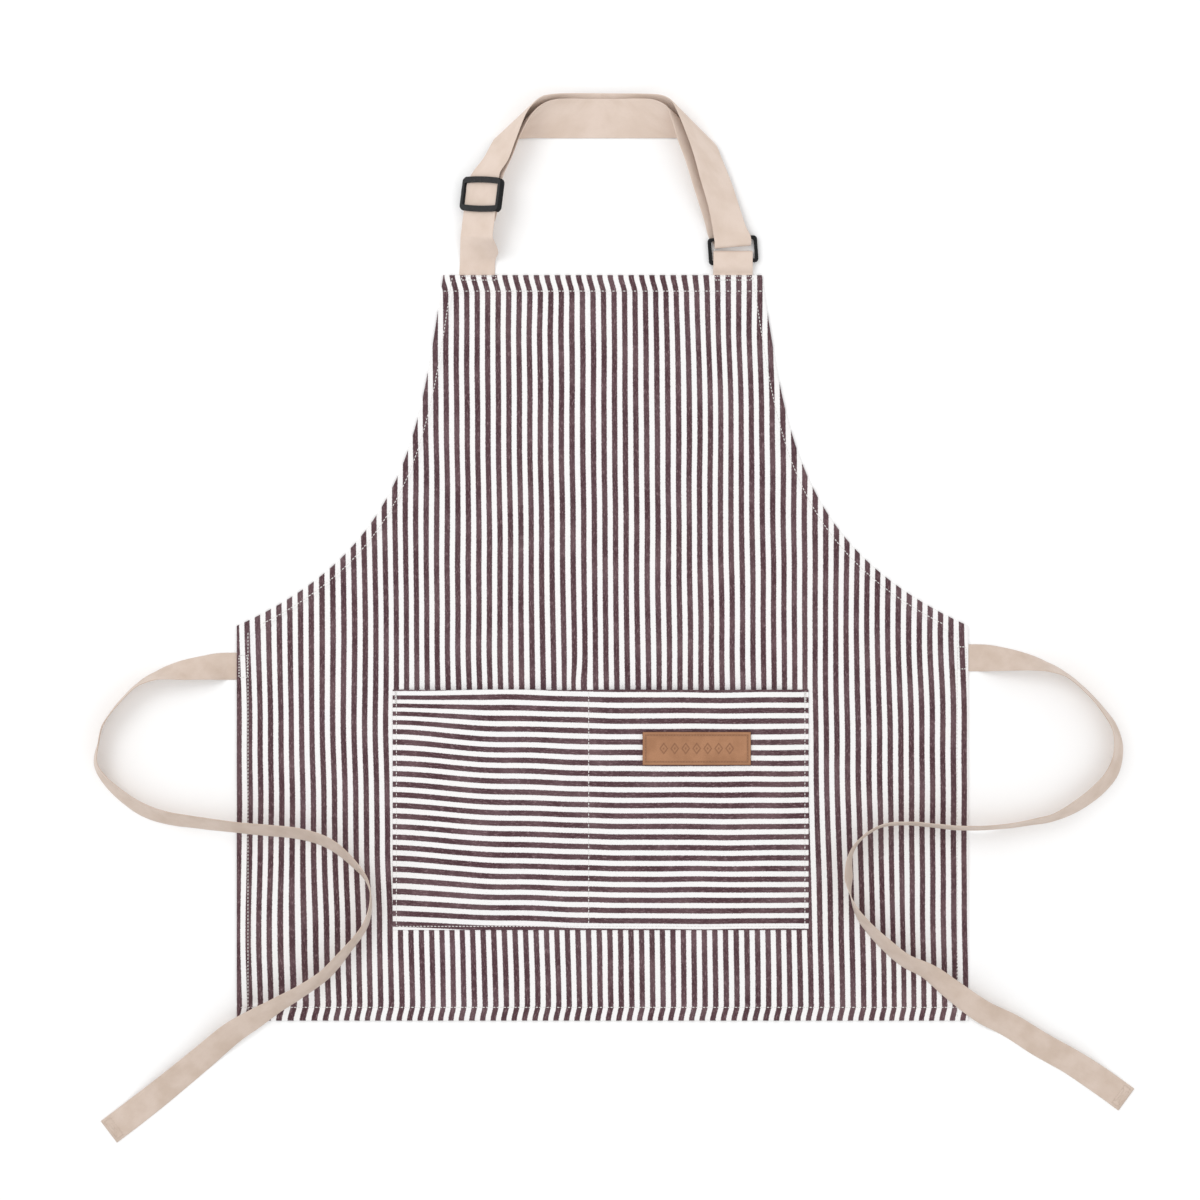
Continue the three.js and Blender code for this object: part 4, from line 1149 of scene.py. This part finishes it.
def sewHems():
    field = panelSurface(40)
    topLine = bibTopY - hemDepth["top"] + panel["stitchIn"]
    footLine = bottomY + hemDepth["bottom"] - panel["stitchIn"]
    reach = sideX(topLine, 2)
    pieces = [
        seam("bib_hem", [(-reach, topLine), (reach, topLine)], field, 2),
        seam("bottom_hem", [(3 - skirtHalf, footLine), (skirtHalf - 3, footLine)], field, 3),
    ]
    top = bibTopY - 2
    for side, sign in (("left", -1), ("right", 1)):
        inset = hemDepth["side"] - panel["stitchIn"]
        lineX = sign * (skirtHalf - inset)
        route = [(lineX, bottomY + 3), (lineX, waistY - 6)]
        pieces.append(seam(side + "_side_hem", route, panelSurface(inset), 4 + sign))
        inset = hemDepth["armhole"] - panel["stitchIn"]
        route = [(sign * sideX(top - k * 2, inset), top - k * 2) for k in range(int((top - waistY) / 2))]
        pieces.append(seam(side + "_armhole", route, panelSurface(inset), 8 + sign))
    return pieces


def boxRun(x, y, width, height):
    corners = [(-1, -1), (1, -1), (1, 1), (-1, 1), (-1, -1)]
    return [(x + u * width / 2, y + v * height / 2) for u, v in corners]


def hemSurface(x, y):
    return panelHeights(x, y, skirtHalf - abs(x))[0]


def sewRoots():
    pieces = []
    for name, x, width in (("strap_root", roots["strapX"], 32), ("tab_root", roots["tabX"], 34)):
        pieces.append(seam(name, boxRun(x, bibTopY - 2.9, width, 3.7), panelSurface(40), 20, **rootStitch))
    for side, spec in (("left", leftTie), ("right", rightTie)):
        route = boxRun(spec["side"] * (skirtHalf - 6), waistY - spec["belowWaist"], 7.5, 20.5)
        pieces.append(seam(side + "_tie_root", route, hemSurface, 22, **rootStitch))
    return pieces


def pocketSurface(x, y):
    return pocketHeights(x, y)[0]


def sewPocket():
    inset = pocket["seamIn"]
    top = mouthY - 3
    foot = pocketBottomY + inset
    left, right = pocketLeft + inset, pocketRight - inset
    middle = pocket["divider"]
    pieces = [
        seam("pocket_edge", [(left, top), (left, foot), (right, foot), (right, top)], pocketSurface, 30),
        seam("pocket_divider", [(middle, mouthY - 1.5), (middle, pocketBottomY + 6)], pocketSurface, 31),
    ]
    for side, x in (("left", pocketLeft + 3), ("right", pocketRight - 3)):
        bm = bmesh.new()
        for k in range(tack["count"]):
            y = mouthY - 2 - k * tack["step"]
            z = pocketSurface(x, y) + tack["above"]
            slant = tack["slant"] if k % 2 else -tack["slant"]
            a = Vector((x - tack["half"], y, z))
            b = Vector((x + tack["half"], y + slant, z))
            addStitch(bm, a, b, tack["width"], tack["height"])
        pieces.append(threadPiece(side + "_tack_stitches", bm, "white_thread", side + "_pocket_tack"))
    return pieces


def sewLabel():
    z = label["lowZ"] + label["thickness"] - 0.05
    inside = [label[name] - 2 * label["inset"] for name in ("width", "height")]
    route = boxRun(label["x"], labelY, *inside)
    seam("label", route, lambda x, y: z, 40, "tan_thread", **labelStitch)


def sewTieEnd(side, rows, length):
    # a box with crossed stitches, on the tape's turned end
    bm = bmesh.new()

    def onTape(share, back):
        wanted = length - back
        centre, across, face, along = min(rows, key=lambda row: abs(row[3] - wanted))
        if face.z < 0:
            face = -face
        return centre + across * share + face * (tie["thickness"] * 0.8 + 0.12)

    half, near, far = endStitch["half"], endStitch["near"], endStitch["far"]
    box = [(-half, near), (half, near), (half, far), (-half, far), (-half, near)]
    for run in (box, [(-half, near), (half, far)], [(-half, far), (half, near)]):
        for (sa, ba), (sb, bb) in zip(run, run[1:]):
            steps = max(1, round(math.hypot(sb - sa, bb - ba) / endStitch["pitch"]))
            for k in range(steps):
                start, end = (k + 0.1) / steps, (k + 0.88) / steps
                a = onTape(sa + (sb - sa) * start, ba + (bb - ba) * start)
                b = onTape(sa + (sb - sa) * end, ba + (bb - ba) * end)
                addStitch(bm, a, b, endStitch["width"], endStitch["height"])
    return threadPiece(side + "_tie_end_stitches", bm, "beige_thread", side + "_tie_end_stitching")


panelStitches = sewHems() + sewRoots()
pocketStitches = sewPocket()
sewLabel()
leftEnd = sewTieEnd("left", leftRows, leftLength)
rightEnd = sewTieEnd("right", rightRows, rightLength)
print("stage: stitches")

tapes = ((leftTape, leftRows, leftLength, leftEnd), (rightTape, rightRows, rightLength, rightEnd))
for tape, rows, length, ends in tapes:
    [tuple(row[0] * mm) for row in rows]
